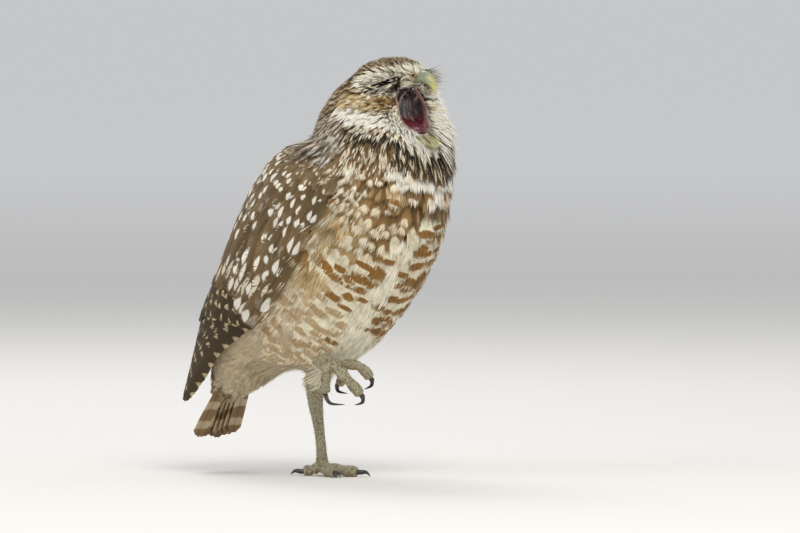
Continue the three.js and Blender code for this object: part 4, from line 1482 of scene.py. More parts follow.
@dataclass
class Mouth:
    """The open gape: a hollow in the skin, its fleshy rim, the folds of the roof, and the tongue."""

    form: Form
    centre: Triple = (60, 0, 194.5)
    sizes: Triple = (14, 11.6, 13.2)
    pitch: float = 4.0
    square: float = 2.5

    def turned(self, local: Array) -> Array:
        """Points of the mouth's own axes, pitched up and set in their place."""
        x, z = pitched(local[..., 0], local[..., 2], -self.pitch)
        return beside(x, local[..., 1], z) + np.array(self.centre)

    def beyond(self, points: Array) -> Array:
        """Roughly how far points lie outside the hollow."""
        near = points - np.array(self.centre)
        x, z = pitched(near[..., 0], near[..., 2], self.pitch)
        local = beside(x, near[..., 1], z)
        deep, wide, high = np.abs(np.moveaxis(local / np.array(self.sizes), -1, 0))
        ring = (wide**self.square + high**self.square) ** (1 / self.square)
        size = np.linalg.norm(local, axis=-1)
        return size - size / np.maximum(np.hypot(deep, ring), 1e-6)

    def wall(self, tilt: Array, turn: Array, shrink: Array | float = 1.0) -> Array:
        """Points of the wall: an ellipsoid whose cross sections are squared off a little."""
        deep, wide, high = self.sizes
        across, up = np.cos(turn), np.sin(turn)
        ring = (np.abs(across) ** self.square + np.abs(up) ** self.square) ** (1 / self.square)
        radius = np.sin(tilt) * shrink / ring
        local = beside(deep * np.cos(tilt), wide * radius * across, high * radius * up)
        return self.turned(local)

    def hollow(self) -> Surface:
        """The hollow's wall: an ellipsoid with two long folds in its roof and a ridge between."""
        rows, around = 72, 96
        tilt = np.linspace(0.02, np.pi - 0.02, rows)[:, None]
        turn = angles(around)[None]
        across, up = np.cos(turn), np.sin(turn)
        fold = np.exp(-(((np.abs(across) - 0.3) / 0.13) ** 2)) * (up > 0)
        ridge = np.exp(-((across / 0.1) ** 2)) * (up > 0)
        inner = np.sin(tilt) ** 0.8 * smooth(1.0, 1.9, tilt)
        shrink = 1 - (0.13 * fold + 0.08 * ridge) * inner
        shrink = shrink - 0.03 * np.sin(tilt * 26) * inner * (up > 0) * (np.abs(across) < 0.75)
        poles = self.turned(np.array([[self.sizes[0], 0, 0], [-self.sizes[0], 0, 0]], float))
        return Surface(listed(self.wall(tilt, turn, shrink), poles), closed_quads(rows, around)[:, ::-1])

    def edge(self, level: float, turn: Array) -> Array:
        """Where the wall reaches a level of the face, found by halving."""
        near, far = np.full(len(turn), np.pi - 0.1), np.full(len(turn), 0.25)
        for _ in range(18):
            tilt = (near + far) / 2
            inside = self.form.read(self.wall(tilt, turn))[0] < level
            near, far = np.where(inside, tilt, near), np.where(inside, far, tilt)
        return self.wall(tilt, turn)

    def rim(self) -> Surface:
        """The lip: the wall carried on to the coat and rolled outwards over its edge.

        Each ring round the mouth is the wall's edge at a level, moved out by its share of the roll.
        """
        turn = np.linspace(0, 2 * np.pi, 145)[:-1]
        levels = (-6.0, -5.0, -4.2, -3.5, -2.9, -2.4, -2.0, -1.8, -1.9, -2.4, -3.6, -5.0)
        outs = (0.3, -0.06, -0.1, -0.12, -0.12, -0.08, 0.03, 0.2, 0.4, 0.55, 0.6, 0.6)
        middle = np.array(self.centre)
        rings = []
        for level, out in zip(levels, outs):
            ring = self.edge(level, turn)
            normal = self.form.normal(ring)
            away = ring - middle
            away = unit(away - normal * (away * normal).sum(1, keepdims=True))
            rings.append(ring + away * out)
        rows, cols = len(turn), len(levels)
        i, j = np.meshgrid(np.arange(rows), np.arange(cols), indexing="ij")
        here, after = i * cols + j, (i + 1) % rows * cols
        across = (j + 1) % cols
        quads = beside(here, i * cols + across, after + across, after + j).reshape(-1, 4)
        flat = beside(i / rows, j / cols).reshape(-1, 2)
        return Surface(np.stack(rings, 1).reshape(-1, 3), quads, {}, 0.02 + 0.96 * flat)

    def tongue(self) -> Surface:
        """A flat, blunt tongue with a furrow down its middle."""
        path = ((49, 0, 187.3), (54, 0, 186.6), (60, 0, 185.2), (65, 0, 184.1), (68.6, 0, 183.9))

        def section(turn: Array, along: Array) -> tuple:
            """A furrow where the top is nearest the middle."""
            furrow = np.exp(-((np.cos(turn) / 0.22) ** 2)) * (np.sin(turn) > 0)
            lumps = 0.05 * np.sin(along * 60 + np.cos(turn) * 5) * smooth(0.6, 0.1, along)
            return 1 + lumps, 0.85 - 0.3 * furrow + lumps, 0.0 * turn

        return tube(path, (4.3, 4.5, 4.4, 3.7, 1.7), 40, 60, 1.42, section, 0.12)


NOSTRIL = (65.4, 4.9, 212.4)


@dataclass
class Bill:
    """The hooked upper half and the scooped lower half of the bill."""

    upper_path: tuple = (
        (56.5, 0, 209.3), (61.5, 0, 210.6), (66, 0, 210.9), (70.5, 0, 210.6), (73.6, 0, 208.6),
        (75.4, 0, 205.8), (76.1, 0, 203.3),
    )
    upper_radii: tuple = (5.0, 4.9, 4.6, 3.9, 2.7, 1.35, 0.35)
    lower_path: tuple = (
        (57.5, 0, 187), (62, 0, 185), (66.5, 0, 182.6), (71, 0, 179.9), (74.6, 0, 177), (76.3, 0, 175)
    )
    lower_radii: tuple = (4.4, 4.4, 4.1, 3.4, 2.3, 0.8)

    def upper(self) -> Surface:
        """The upper half: a section with a narrow ridge above and flattened, hollow edges below."""

        def section(turn: Array, along: Array) -> tuple:
            """Narrower towards the ridge, and shallow underneath with a groove between its edges."""
            up = np.sin(turn)
            across = 1.12 - 0.3 * np.maximum(up, 0) ** 1.5
            high = np.where(up > 0, 1.05, 0.78)
            groove = 0.5 * np.exp(-((np.cos(turn) / 0.55) ** 2)) * (up < 0)
            return across, high, groove

        return tube(self.upper_path, self.upper_radii, 48, 70, 1.0, section, 0.03)

    def lower(self) -> Surface:
        """The lower half: a scoop, hollow above between two sharp edges."""

        def section(turn: Array, along: Array) -> tuple:
            """The upper side sinks to a little over the lower one."""
            up = np.sin(turn)
            high = np.where(up > 0, -0.2 + 0.15 * smooth(0.8, 1.0, along), 0.95)
            return 1.0, high, 0.1 * np.abs(np.cos(turn)) ** 3

        return tube(self.lower_path, self.lower_radii, 48, 60, 2.15, section, 0.04)


@dataclass
class Nostril:
    """A nostril: a round rim of soft skin with a dark hollow in its middle."""

    form: Form
    side: int
    radius: float = 1.7

    def surface(self) -> Surface:
        """A disc on the form.

        A point lies at a distance from the middle, at a level that rises to a rim at half the
        radius, falls into the hollow inside it and sinks under the coat outside.
        """
        rings, around = 16, 36
        middle = self.form.onto(np.array(NOSTRIL)[None] * np.array([1, self.side, 1]), 0.2)
        normal = self.form.normal(middle)[0]
        right = unit(np.cross(normal, np.array([0, 0, 1.0])))
        rise = np.cross(right, normal)
        far = np.linspace(1, 0.04, rings)[:, None]
        turn = angles(around)[None]
        wide = self.radius * far
        flat = middle + right * (wide * np.cos(turn))[..., None] * 1.15
        flat = flat + rise * (wide * np.sin(turn))[..., None] * 0.85
        level = 0.55 * np.exp(-(((far - 0.5) / 0.2) ** 2))
        level = level - 0.9 * smooth(0.35, 0.0, far) - 0.9 * smooth(0.6, 1.0, far)
        over = self.form.onto(flat, np.broadcast_to(level, flat.shape[:2]))
        under = middle - normal * 2.2
        tip = over[-1].mean(0)
        points = listed(over, under, tip[None])
        near = np.broadcast_to(far, flat.shape[:2]).reshape(-1)
        near = np.concatenate([near, [1.0, 0.0]])
        place = beside(0.5 + 0.48 * far * np.cos(turn), 0.5 + 0.48 * far * np.sin(turn))
        place = listed(place, np.array([[0.98, 0.98], [0.5, 0.5]]))
        return Surface(points, closed_quads(rings, around), {"seam": beside(near, near, near)}, place)


@dataclass(frozen=True)
class NostrilFinish:
    """Reddish-brown skin, painted black in the hollow as the opening's shade."""

    name: str

    def material(self) -> Material:
        """Builds the material from the place between the middle and the edge."""
        sh = Shader(self.name)
        far = sh.carried("seam")[0]
        fine = sh.noise(sh.place(), 1800.0, 3.0, 0.6)
        colour = sh.mix(sh.steps(fine, 0.3, 0.7), (0.20, 0.10, 0.055), (0.34, 0.22, 0.13))
        # Painted shade: black in the middle, where the nostril opens.
        colour = sh.mix(sh.steps(far, 0.42, 0.2), colour, (0.012, 0.007, 0.006))
        sh.bump(fine, 0.0002, 0.5)
        return sh.finish(colour, 0.5)


@dataclass
class Lids:
    """The closed lids of one eye: two soft rolls that meet in a slit."""

    form: Form
    side: int
    seam: tuple = (
        (50.4, 28.6, 204), (53.4, 25.8, 206.4), (56.6, 21.6, 208.4), (59.4, 16.6, 210.2),
        (61.6, 11.4, 211.8),
    )
    reach: float = 4.6

    def seam_path(self, steps: int = 60) -> Array:
        """The line where the lids meet, on this side, at the coat's outline."""
        path = catmull(self.seam, np.linspace(0, len(self.seam) - 1, steps))
        return self.form.onto(path * np.array([1, self.side, 1]), -0.5)

    def lens(self) -> Surface:
        """Both lids as one closed sheet.

        A point lies at a distance across the seam, set onto the form at a level: a furrow 0.9 mm
        deep and half a millimetre wide on the seam, a roll beside it, and a fall to 2 mm under the
        coat at the sheet's edge. The sheet narrows to the ends of the seam.
        """
        steps, cols = 90, 41
        middle = self.seam_path(steps)
        ahead = unit(np.gradient(middle, axis=0))
        normal = self.form.normal(middle)
        across = np.cross(normal, ahead)
        share = np.linspace(-1, 1, cols)
        share = np.sign(share) * np.abs(share) ** 1.5
        t = np.linspace(0, 1, steps)
        width = self.reach * np.sqrt(np.sin(np.pi * (0.04 + 0.92 * t)))
        far = share[None] * width[:, None]
        near = np.abs(far)
        level = -0.85 * np.exp(-((near / 0.38) ** 2)) + 0.3 * np.exp(-(((near - 0.8) / 0.45) ** 2))
        level = level - 0.5 - 2.2 * smooth(1.1, self.reach * 0.8, near)
        flat = middle[:, None] + across[:, None] * far[..., None]
        over = self.form.onto(flat, level)
        under = self.form.onto(flat, level - 0.8)
        quads = sheet_quads(steps, cols)
        if self.side > 0:
            quads = quads[:, ::-1]
        near = beside(near, near, near)
        place = 0.02 + 0.96 * beside(t[:, None], 0.5 + 0.5 * share[None])
        return Surface(listed(over, under), quads, {"seam": listed(near, near)}, listed(place, place))


@dataclass(frozen=True)
class LidFinish:
    """Pale lid skin, black along its seam."""

    name: str

    def material(self) -> Material:
        """Builds the material from the distance to the seam, in millimetres."""
        sh = Shader(self.name)
        near = sh.carried("seam")[2]
        fine = sh.noise(sh.place(), 1500.0, 3.0, 0.6)
        near = sh.plus(near, sh.times(sh.minus(fine, 0.5), 0.9))
        colour = sh.mix(sh.steps(near, 0.9, 1.6), (0.004, 0.003, 0.003), (0.30, 0.27, 0.20))
        sh.bump(fine, 0.0003, 0.6)
        return sh.finish(colour, 0.7, {"Specular IOR Level": 0.12})


@dataclass(frozen=True)
class Toe:
    """One toe: its path from the ball of the foot, its radius, and its claw's further points."""

    path: tuple
    radius: float
    claw: tuple


def spread_toe(degrees: float, length: float, radius: float) -> Toe:
    """A toe that lies on the floor, from the ball of the foot outwards at an angle."""
    a = np.radians(degrees)

    def out(far: float, height: float) -> Triple:
        """A point so far out and so high."""
        return far * np.cos(a), far * np.sin(a), height

    path = out(length * 0.3, 4.1), out(length * 0.62, radius * 1.1), out(length, radius - 0.35)
    return Toe(path, radius, (out(length + 5.2, radius * 0.85), out(length + 7.6, 0.4)))


@dataclass
class Leg:
    """One leg below its feathers: tarsus, ball, toes with pads and scutes, and claws."""

    name: str
    ball: Triple
    tarsus: tuple
    tarsus_radii: tuple
    toes: tuple[Toe, ...]
    replaced: tuple[str, ...]
    floor: bool = False
    voxel: float = 0.36
    claw_radii: tuple = (1.35, 1.4, 1.3, 1.0, 0.55, 0.12)

    def flesh(self) -> Surface:
        """The limbs of the leg before they are made one.

        A toe is a tube whose radius swells over its joints, with cross scutes every 1.5 mm above.
        """
        parts = [self.shank()]
        for toe in self.toes:
            path = ((self.ball),) + toe.path

            def section(turn: Array, along: Array) -> tuple:
                """Pads below, scutes above."""
                up = np.sin(turn)
                pads = 0.16 * np.maximum(-up, 0) * np.abs(np.sin(along * np.pi * 3.5)) ** 0.7
                scutes = 0.07 * np.maximum(up, 0) * np.abs(np.sin(along * np.pi * 10))
                return 1 + 0.4 * pads, 0.94 + pads + scutes, 0.0 * turn

            swell = tuple(toe.radius * k for k in (1.1, 0.86, 1.04, 0.84, 1.05, 0.9))
            parts.append(tube(path, swell, 32, 60, 1.0, section, 0.09))
        return Surface.joined(parts)

    def shank(self) -> Surface:
        """The tarsus: a tube flattened from side to side, ringed with low scutes."""

        def section(turn: Array, along: Array) -> tuple:
            """Low rings that come and go round the leg."""
            rings = 0.035 * np.sin(along * 150 + np.sin(turn * 3) * 1.5)
            return 0.96 + rings, 1.02 + rings, 0.0 * turn

        return tube(self.tarsus, self.tarsus_radii, 40, 120, 1.0, section, 0.05)

    def hairs(self, rng: np.random.Generator) -> tuple[Array, Array]:
        """Roots and ways of sparse bristles down the tarsus and over the toes.

        A root lies at a radius from the limb's middle line, on the upper side of a toe, and its
        bristle runs along the limb and leans outwards.
        """
        limbs = [(self.tarsus, self.tarsus_radii, 260)]
        limbs += [((self.ball,) + toe.path, (toe.radius,) * (len(toe.path) + 1), 45) for toe in self.toes]
        roots, ways = [], []
        for path, radii, count in limbs:
            at = rng.random(count) ** 1.3 * (len(path) - 1.2)
            middle = catmull(path, at)
            ahead = unit(catmull(path, at + 0.1) - middle)
            out = unit(np.cross(ahead, rng.normal(size=(count, 3))))
            if count < 100:
                out[:, 2] = np.abs(out[:, 2])
            reach = np.interp(at, np.arange(len(radii)), radii)[:, None] * 0.92
            roots.append(middle + out * reach)
            ways.append(unit(ahead + 0.3 * out))
        return np.concatenate(roots), np.concatenate(ways)

    def claws(self) -> list[Surface]:
        """Each claw: a tube that thins and hooks to its tip, set into the toe's end."""
        made = []
        for toe in self.toes:
            before, end = np.array(toe.path[-2], float), np.array(toe.path[-1], float)
            ahead = unit(end - before)
            root = tuple(end - ahead * 1.2), tuple(end + ahead * 1.5)
            made.append(tube(root + toe.claw, self.claw_radii, 24, 44, 0.86, None, 0.03))
        return made


LEFT_LEG = Leg(
    "left",
    (0, 0, 4.6),
    (
        (-5.2, 0.4, 52), (-4.9, 0, 45), (-4.4, 0, 38), (-3.1, 0, 31), (-1.8, 0, 24), (-0.8, 0, 17),
        (-0.2, 0, 11), (0, 0, 4.6),
    ),
    (5.2, 4.6, 3.9, 3.2, 2.75, 2.65, 2.9, 4.0),
    tuple(spread_toe(*toe) for toe in ((-28, 17, 2.9), (12, 21, 3.0), (100, 15, 2.8), (-160, 10, 2.8))),
    ("tarsus_left", "foot_left"),
    True,
)
RIGHT_LEG = Leg(
    "right",
    (19.7, -20, 60.4),
    ((2, -15, 69), (7, -17, 66.5), (12, -18.5, 64), (16, -19.5, 62.2), (19.7, -20, 60.4)),
    (5.2, 5.0, 4.6, 4.4, 4.6),
    (
        Toe(((25.5, -19, 57.8), (30, -18, 54), (33.6, -15.6, 49.4), (36.5, -13, 44.5)), 2.9,
            ((37.4, -13.2, 40.6), (33.4, -14.6, 39.2))),
        Toe(((26, -13.5, 60.8), (30, -9, 60), (33, -5.5, 57.2), (34.5, -2.5, 53)), 2.8,
            ((35, -2.4, 49), (31.4, -3.8, 47))),
        Toe(((20, -21.6, 56), (19.5, -21.5, 51.5), (18.6, -20.8, 48.4), (18, -19.8, 45.5)), 2.7,
            ((21.6, -20, 40), (31, -19.5, 39.6))),
        Toe(((24, -15.5, 57.8), (25.5, -13.5, 55), (23.6, -12.4, 52.4), (20.8, -12, 50)), 2.6,
            ((20.6, -12, 46), (27, -12, 45))),
    ),
    ("foot_right",),
)


@dataclass
class Bristles:
    """Thin tapered bristles."""

    seed: int = 21
    rows: int = 7

    def surface(self, roots: Array, ways: Array, lengths: Array, radius: float, dress: dict) -> Surface:
        """Three-sided bristles that leave their roots along their ways and droop outwards a little."""
        rng = np.random.default_rng(self.seed + len(roots))
        count = len(roots)
        t = np.linspace(0, 1, self.rows)
        ways = unit(ways + rng.normal(size=ways.shape) * 0.1)
        bend = unit(rng.normal(size=ways.shape)) * 0.16
        spine = roots[:, None] + ways[:, None] * (lengths[:, None] * t)[..., None]
        spine = spine + bend[:, None] * (lengths[:, None] * t**2)[..., None]
        side = unit(np.cross(ways, np.array([0.3, 0.4, 0.87])))
        rise = np.cross(ways, side)
        turn = angles(4)
        thin = radius * (1 - 0.92 * t)
        ring = side[:, None] * np.cos(turn)[None, :, None] + rise[:, None] * np.sin(turn)[None, :, None]
        points = spine[:, :, None] + ring[:, None] * thin[None, :, None, None]
        quads = many_quads(grid_quads(self.rows, 4, True), count, self.rows * 4)
        own = rng.random(count) * 40
        vane = beside(0.0 * turn[None, None], t[None, :, None], own[:, None, None])
        carried = {"vane": listed(vane), **worn(dress, self.rows * 4)}
        patch = beside(turn[None, None] / 12, t[None, :, None])
        bake = (rng.random((count, 2)) * 0.9 + 0.05)[:, None, None] + patch * BAKE_PATCH
        return Surface(points.reshape(-1, 3), quads, carried, bake.reshape(-1, 2))


# Lines that carry long feathers: wing's front edge, shoulder, left side of the mouth, and lore.
FLANK = ((44, 39, 152), (40, 40, 138), (31, 42, 121), (18, 44, 104), (6, 41, 88))
SHOULDER = (
    (6, 3, 180), (12, 18, 180), (22, 28, 179), (33, 34, 177), (45, 36, 170), (50, 38, 158), (50, 39, 148)
)
RUFF = ((61, 14, 208), (60, 21, 200), (61, 25, 191), (66, 21, 183))
LORE = ((62, 3, 218), (62.5, 7, 209), (63, 12, 200), (64.5, 14.5, 191), (68, 11, 184))


@dataclass
class Owl:
    """The whole bird: skin and coat, wings, tail, face and legs."""

    covered_degrees: tuple[float, float] = (14, 92)
    covered_stations: tuple[float, float] = (1.4, 5.8)
    wing_top: float = 168

    def __post_init__(self) -> None:
        """Works out the form and the skin that all pieces share."""
        self.form = Form()
        self.skin = Skin(self.form)
        self.mouth = Mouth(self.form)
        self.markings = Markings()
        self.coat = Coat(self.form, self.skin)
        self.plumage = PlumageFinish("plumage").material()
        self.vanes = PlumageFinish("vane plumage", 60.0, 0.62, 0.0002, 0.0, 0.6, 1.3).material()
        self.spotted = PlumageFinish("spotted plumage", 60.0, 0.62, 0.0002, 0.24, 0.5, 1.35).material()

    def under_wing(self, points: Array) -> Array:
        """Which places a folded wing covers."""
        loft = Loft(WING_FORM)
        stations = np.linspace(1.0, 6.3, 60)
        ahead = loft.section(points[:, :1], points[:, 2:], stations)[0]
        at = np.clip((ahead >= 0).sum(1) - 1, 0, len(stations) - 1)
        s = stations[at]
        _, a, depth, width = loft.section(points[:, 0], points[:, 2], s)
        psi = np.degrees(np.arctan2(np.abs(points[:, 1]) / width, a / depth))
        covered = between(psi, *self.covered_degrees) & between(s, *self.covered_stations)
        return covered & (points[:, 2] < self.wing_top)

    def keep(self, points: Array, low: float, high: float, back: bool | None = None) -> Array:
        """Which places lie between two heights, in front of or behind the wing's front edge."""
        behind = (points[:, 0] - 24) * 0.8 - (points[:, 2] - 120) * 0.62 < -22
        kept = between(points[:, 2], low, high) & ~self.under_wing(points)
        return kept if back is None else kept & (behind == back)

    @staticmethod
    def band(points: Array, path: tuple, radius: float) -> Array:
        """Which places lie within a radius of a line, on either side."""
        return line_reach(folded(points), path, (radius, radius)) < 0

    def off_features(self, points: Array) -> Array:
        """Which places are clear of the mouth, the bill and the slits of the eyes."""
        lower = swell_reach(points, (72.5, 0, 177), (75.5, 0, 173.8), (4.8, 3.4)) < 0.5
        near = folded(points)
        upper = (points[:, 0] > 69) & (near[:, 1] < 5) & (points[:, 2] > 203)
        upper |= (points[:, 0] > 66) & (near[:, 1] < 5.5) & (np.abs(points[:, 2] - 206.5) < 2.5)
        upper |= swell_reach(near, NOSTRIL, NOSTRIL, (2.5, 2.5)) < 0
        upper |= (points[:, 0] > 67.5) & (near[:, 1] < 5) & between(points[:, 2], 206, 214)
        seam = Lids(self.form, 1).seam_path(30)
        slit = np.linalg.norm(near[:, None] - seam[None], axis=-1).min(1) < 1.05
        return (self.mouth.beyond(points) >= 0.3) & ~lower & ~upper & ~slit

    def fields(self) -> list[tuple[str, str, Growth, tuple[float, float], object]]:
        """The growths of the coat: name, slot, feathers, rows of the skin, and where they are kept."""
        keep, off, band = self.keep, self.off_features, self.band

        def face(p: Array) -> Array:
            """Whether places lie on the face."""
            return (p[:, 0] > 46) & (p[:, 2] > 183)

        return [
            ("vent", "breast_plumage", Growth(5.4, 3.6, 1.6, 20, 6, 3.0, 1.6, 1.6, 0.14, 1.1), (0.02, 0.34),
             lambda p: keep(p, 0, 76) & (p[:, 0] > -24)),
            ("belly", "breast_plumage", Growth(6.4, 2.8, 1.7, 38, 7, 3.0, 1.1, 0.6, 0.08, 1.7), (0.0, 0.6),
             lambda p: keep(p, 70, 130, False)),
            ("mantle", "nape_plumage", Growth(6.0, 3.0, 2.3, 26, 6, 2.0, 3.2, 0.8), (0.0, 0.72),
             lambda p: keep(p, 80, 176, True)),
            ("rump", "nape_plumage", Growth(3.2, 2.7, 1.7, 14, 6, 3.0, 0.8, 0.9, 0.1), (0.0, 0.34),
             lambda p: keep(p, 0, 90) & (p[:, 0] <= -24) & ((p[:, 0] <= -38) | (p[:, 2] < 76))),
            ("breast", "breast_plumage", Growth(4.8, 3.1, 1.8, 28, 6, 3, 1.6, 0.8, 0.07, 1.6), (0.4, 0.74),
             lambda p: keep(p, 127, 158, False)),
            ("throat", "breast_plumage", Growth(4.4, 2.9, 1.8, 22, 6, 2.8, 2.2, 0.9, 0.05), (0.6, 0.88),
             lambda p: keep(p, 154, 171, False) & (p[:, 0] > 44) & off(p)),
            ("gorget", "breast_plumage", Growth(2.2, 4.4, 1.1, 6, 6, 2.8, 1.5, 1.3, 0.2, 1.1), (0.6, 0.9),
             lambda p: keep(p, 168, 185, False) & (p[:, 0] > 44) & off(p)),
            ("nape", "nape_plumage", Growth(3.7, 3.0, 1.5, 13, 5, 2.8, 0.6, 0.8), (0.6, 0.88),
             lambda p: between(p[:, 2], 150, 188) & (p[:, 0] <= 48)),
            ("crown", "face_plumage", Growth(2.4, 3.4, 1.4, 8, 5, 2.4, 0.4, 0.9, 0.18, 1.15), (0.7, 0.999),
             lambda p: (p[:, 2] >= 184) & ~face(p) & off(p)),
            ("face", "face_plumage", Growth(1.6, 3.8, 1.3, 5, 5, 2.2, 0.45, 1.0, 0.2, 1.1), (0.68, 0.999),
             lambda p: face(p) & off(p) & ~band(p, LORE, 4.4)),
            ("lore", "face_plumage", Growth(1.3, 4.4, 1.2, 4, 5, 2.0, 0.5, 1.2, 0.2, 1.0), (0.68, 0.999),
             lambda p: band(p, LORE, 4.4) & off(p)),
            ("flank", "breast_plumage", Growth(5.0, 4.2, 1.6, 16, 7, 2.4, 4.4, 2.2, 0.22, 0.6), (0.1, 0.7),
             lambda p: band(p, FLANK, 6.5)),
            ("shoulder", "nape_plumage", Growth(3.0, 4.3, 1.5, 11, 7, 2.4, 5.8, 1.2, 0.1, 1.1), (0.4, 0.9),
             lambda p: band(p, SHOULDER, 6.5)),
            ("ruff", "face_plumage", Growth(2.6, 4.2, 1.3, 7, 6, 2.0, 3.8, 1.8, 0.2, 0.8), (0.68, 0.999),
             lambda p: (line_reach(p, RUFF, (4, 4)) < 0) & off(p)),
        ]

    def dress_coat(self) -> None:
        """Grows the coat piece by piece."""
        for name, slot, growth, rows, keep in self.fields():
            roots, unwrap = self.coat.roots(growth, rows, keep)
            seen = roots + heading(roots) * (0.55 * growth.spacing * growth.tall)
            dress = self.markings.dress(self.form.onto(seen, 0.0))
            if name == "ruff":
                plumes = [WHITE_PLUME, BROW_PLUME]
                rng = np.random.default_rng(2)
                dress = Markings.of(plumes, (rng.random(len(roots)) < 0.3).astype(int), rng)
            self.coat.grow(growth, roots, unwrap, dress).piece(f"plumage_{name}", slot, self.plumage)

    def dress_bill(self) -> None:
        """Black and white bristles round the bill."""
        rng = np.random.default_rng(4)
        count = 170
        side = np.where(rng.random(count) < 0.3, -1, 1)
        share = rng.random(count)
        root = beside(60 + 6 * share, 3.5 + 8 * (1 - share), 207 + 9 * rng.random(count))
        root[:, 1] *= side
        root = self.form.onto(root, -0.3)
        away = beside(0.55 + 0 * share, side * (0.75 - 0.3 * share), 0.35 - 0.8 * rng.random(count))
        length = 5 + 6 * rng.random(count)
        plumes = [Plume(BLACK, BLACK), Plume((0.62, 0.56, 0.42), CREAM)]
        dress = Markings.of(plumes, (rng.random(count) < np.where(side < 0, 0.8, 0.45)).astype(int), rng)
        hairs = Bristles().surface(root, unit(away), length, 0.11, dress)
        hairs.piece("bristles", "face_plumage", self.plumage)

    def dress_lids(self) -> None:
        """Short black lashes along the slit of each eye."""
        rng = np.random.default_rng(6)
        count = 30
        for name, side in SIDES:
            path = Lids(self.form, side).seam_path(200)
            at = rng.integers(8, 192, count)
            root, ahead = path[at], np.gradient(path, axis=0)[at]
            normal = self.form.normal(root)
            across = unit(np.cross(normal, ahead))
            below = np.where(across[:, 2:] > 0, -1, 1) * across
            root = self.form.onto(root + below * rng.uniform(0.2, 1.0, (count, 1)), -0.5)
            away = unit(below * 0.7 + normal * 0.45 - unit(ahead) * np.sign(ahead[:, :1]) * 0.6)
            length = 1.2 + 1.3 * rng.random(count)
            dress = Markings.of([Plume(BLACK, BLACK)], np.zeros(count, int), rng)
            hairs = Bristles(31).surface(root, away, length, 0.12, dress)
            hairs.piece(f"lashes_{name}", "eyelid_skin", self.plumage)

    def build_skin(self) -> None:
        """The skin, hollowed by the mouth, stands for the torso, neck, head and left thigh."""
        down = UnderFinish("under down and painted shade").material()
        skin = self.skin.surface(self.markings).piece("skin", "breast_plumage", down)
        lining = MouthFinish("mouth lining").material()
        hollow = self.mouth.hollow().piece("mouth_cutter", "mouth_skin", lining)
        cut = skin.modifiers.new("mouth", "BOOLEAN")
        cut.object = hollow
        cut.operation = "DIFFERENCE"
        cut.solver = "EXACT"
        cut.material_mode = "TRANSFER"
        bpy.context.view_layer.objects.active = skin
        bpy.ops.object.modifier_apply(modifier=cut.name)
        bpy.data.objects.remove(hollow)
        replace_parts(skin, "torso", "neck", "head", "thigh_left")
        log.info("skin: %d faces", len(skin.data.polygons))

    def build_wings(self) -> None:
        """Both wings and the tail."""
        for side in (1, -1):
            Wing(side).build(self.vanes, self.spotted)
        Tail().build(self.vanes)

    def build_face(self) -> None:
        """Rim and tongue of the mouth, both halves of the bill, and the closed lids."""
        lip = SkinFinish("lip", (0.52, 0.32, 0.29), (0.27, 0.15, 0.145), 0.25).material()
        self.mouth.rim().piece("mouth_rim", "mouth_skin", lip)
        wet = SkinFinish("tongue", (0.08, 0.009, 0.018), (0.16, 0.026, 0.042), 0.16).material()
        tongue = self.mouth.tongue().piece("tongue_flesh", "mouth_skin", wet)
        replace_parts(tongue, "tongue")
        bill = Bill()
        grey, gold = (0.22, 0.25, 0.165), (0.56, 0.50, 0.19)
        upper_horn = HornFinish("upper bill", grey, gold, 0.3, (0.45, 0.85)).material()
        green, yellow, pale = (0.30, 0.31, 0.13), (0.52, 0.48, 0.17), (0.36, 0.34, 0.17)
        lower_horn = HornFinish("lower bill", green, yellow, 0.32, (0.2, 0.8), pale).material()
        for name, half, horn in (("upper", bill.upper(), upper_horn), ("lower", bill.lower(), lower_horn)):
            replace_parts(half.piece(f"bill_{name}", "bill", horn), f"beak_{name}")
        rim = NostrilFinish("nostril").material()
        for name, side in SIDES:
            Nostril(self.form, side).surface().piece(f"nostril_{name}", "bill", rim)
        lid = LidFinish("lid").material()
        for name, side in SIDES:
            made = Lids(self.form, side).lens().piece(f"lids_{name}", "eyelid_skin", lid)
            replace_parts(made, f"eyelid_{name}")

    def build_legs(self) -> None:
        """Both legs, each fused into one skin, with their claws."""
        scales = ScaleFinish("foot scales", (0.58, 0.52, 0.36), (0.21, 0.18, 0.10), 1500.0).material()
        horn = HornFinish("claw horn", (0.035, 0.03, 0.027), (0.012, 0.011, 0.01), 0.22).material()
        for leg in (LEFT_LEG, RIGHT_LEG):
            flesh = leg.flesh().piece(f"leg_{leg.name}", "foot_skin", scales)
            fuse = flesh.modifiers.new("fuse", "REMESH")
            fuse.mode = "VOXEL"
            fuse.voxel_size = leg.voxel * MM
            fuse.use_smooth_shade = True
            bpy.context.view_layer.objects.active = flesh
            bpy.ops.object.modifier_apply(modifier=fuse.name)
            self.rest_flat(flesh, leg)
            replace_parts(flesh, *leg.replaced)
            for number, claw in enumerate(leg.claws(), 1):
                made = claw.piece(f"talon_{leg.name}_{number}", "claw_horn", horn)
                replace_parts(made, f"claw_{leg.name}_{number}")
            rng = np.random.default_rng(8)
            roots, ways = leg.hairs(rng)
            pale = Markings.of([Plume((0.66, 0.60, 0.46), WHITE)], np.zeros(len(roots), int), rng)
            length = 1.6 + 1.6 * rng.random(len(roots))
            hairs = Bristles(rows=4).surface(roots, ways, length, 0.1, pale)
            hairs.piece(f"leg_hairs_{leg.name}", "leg_skin", self.plumage)
            log.info("leg %s: %d faces", leg.name, len(flesh.data.polygons))

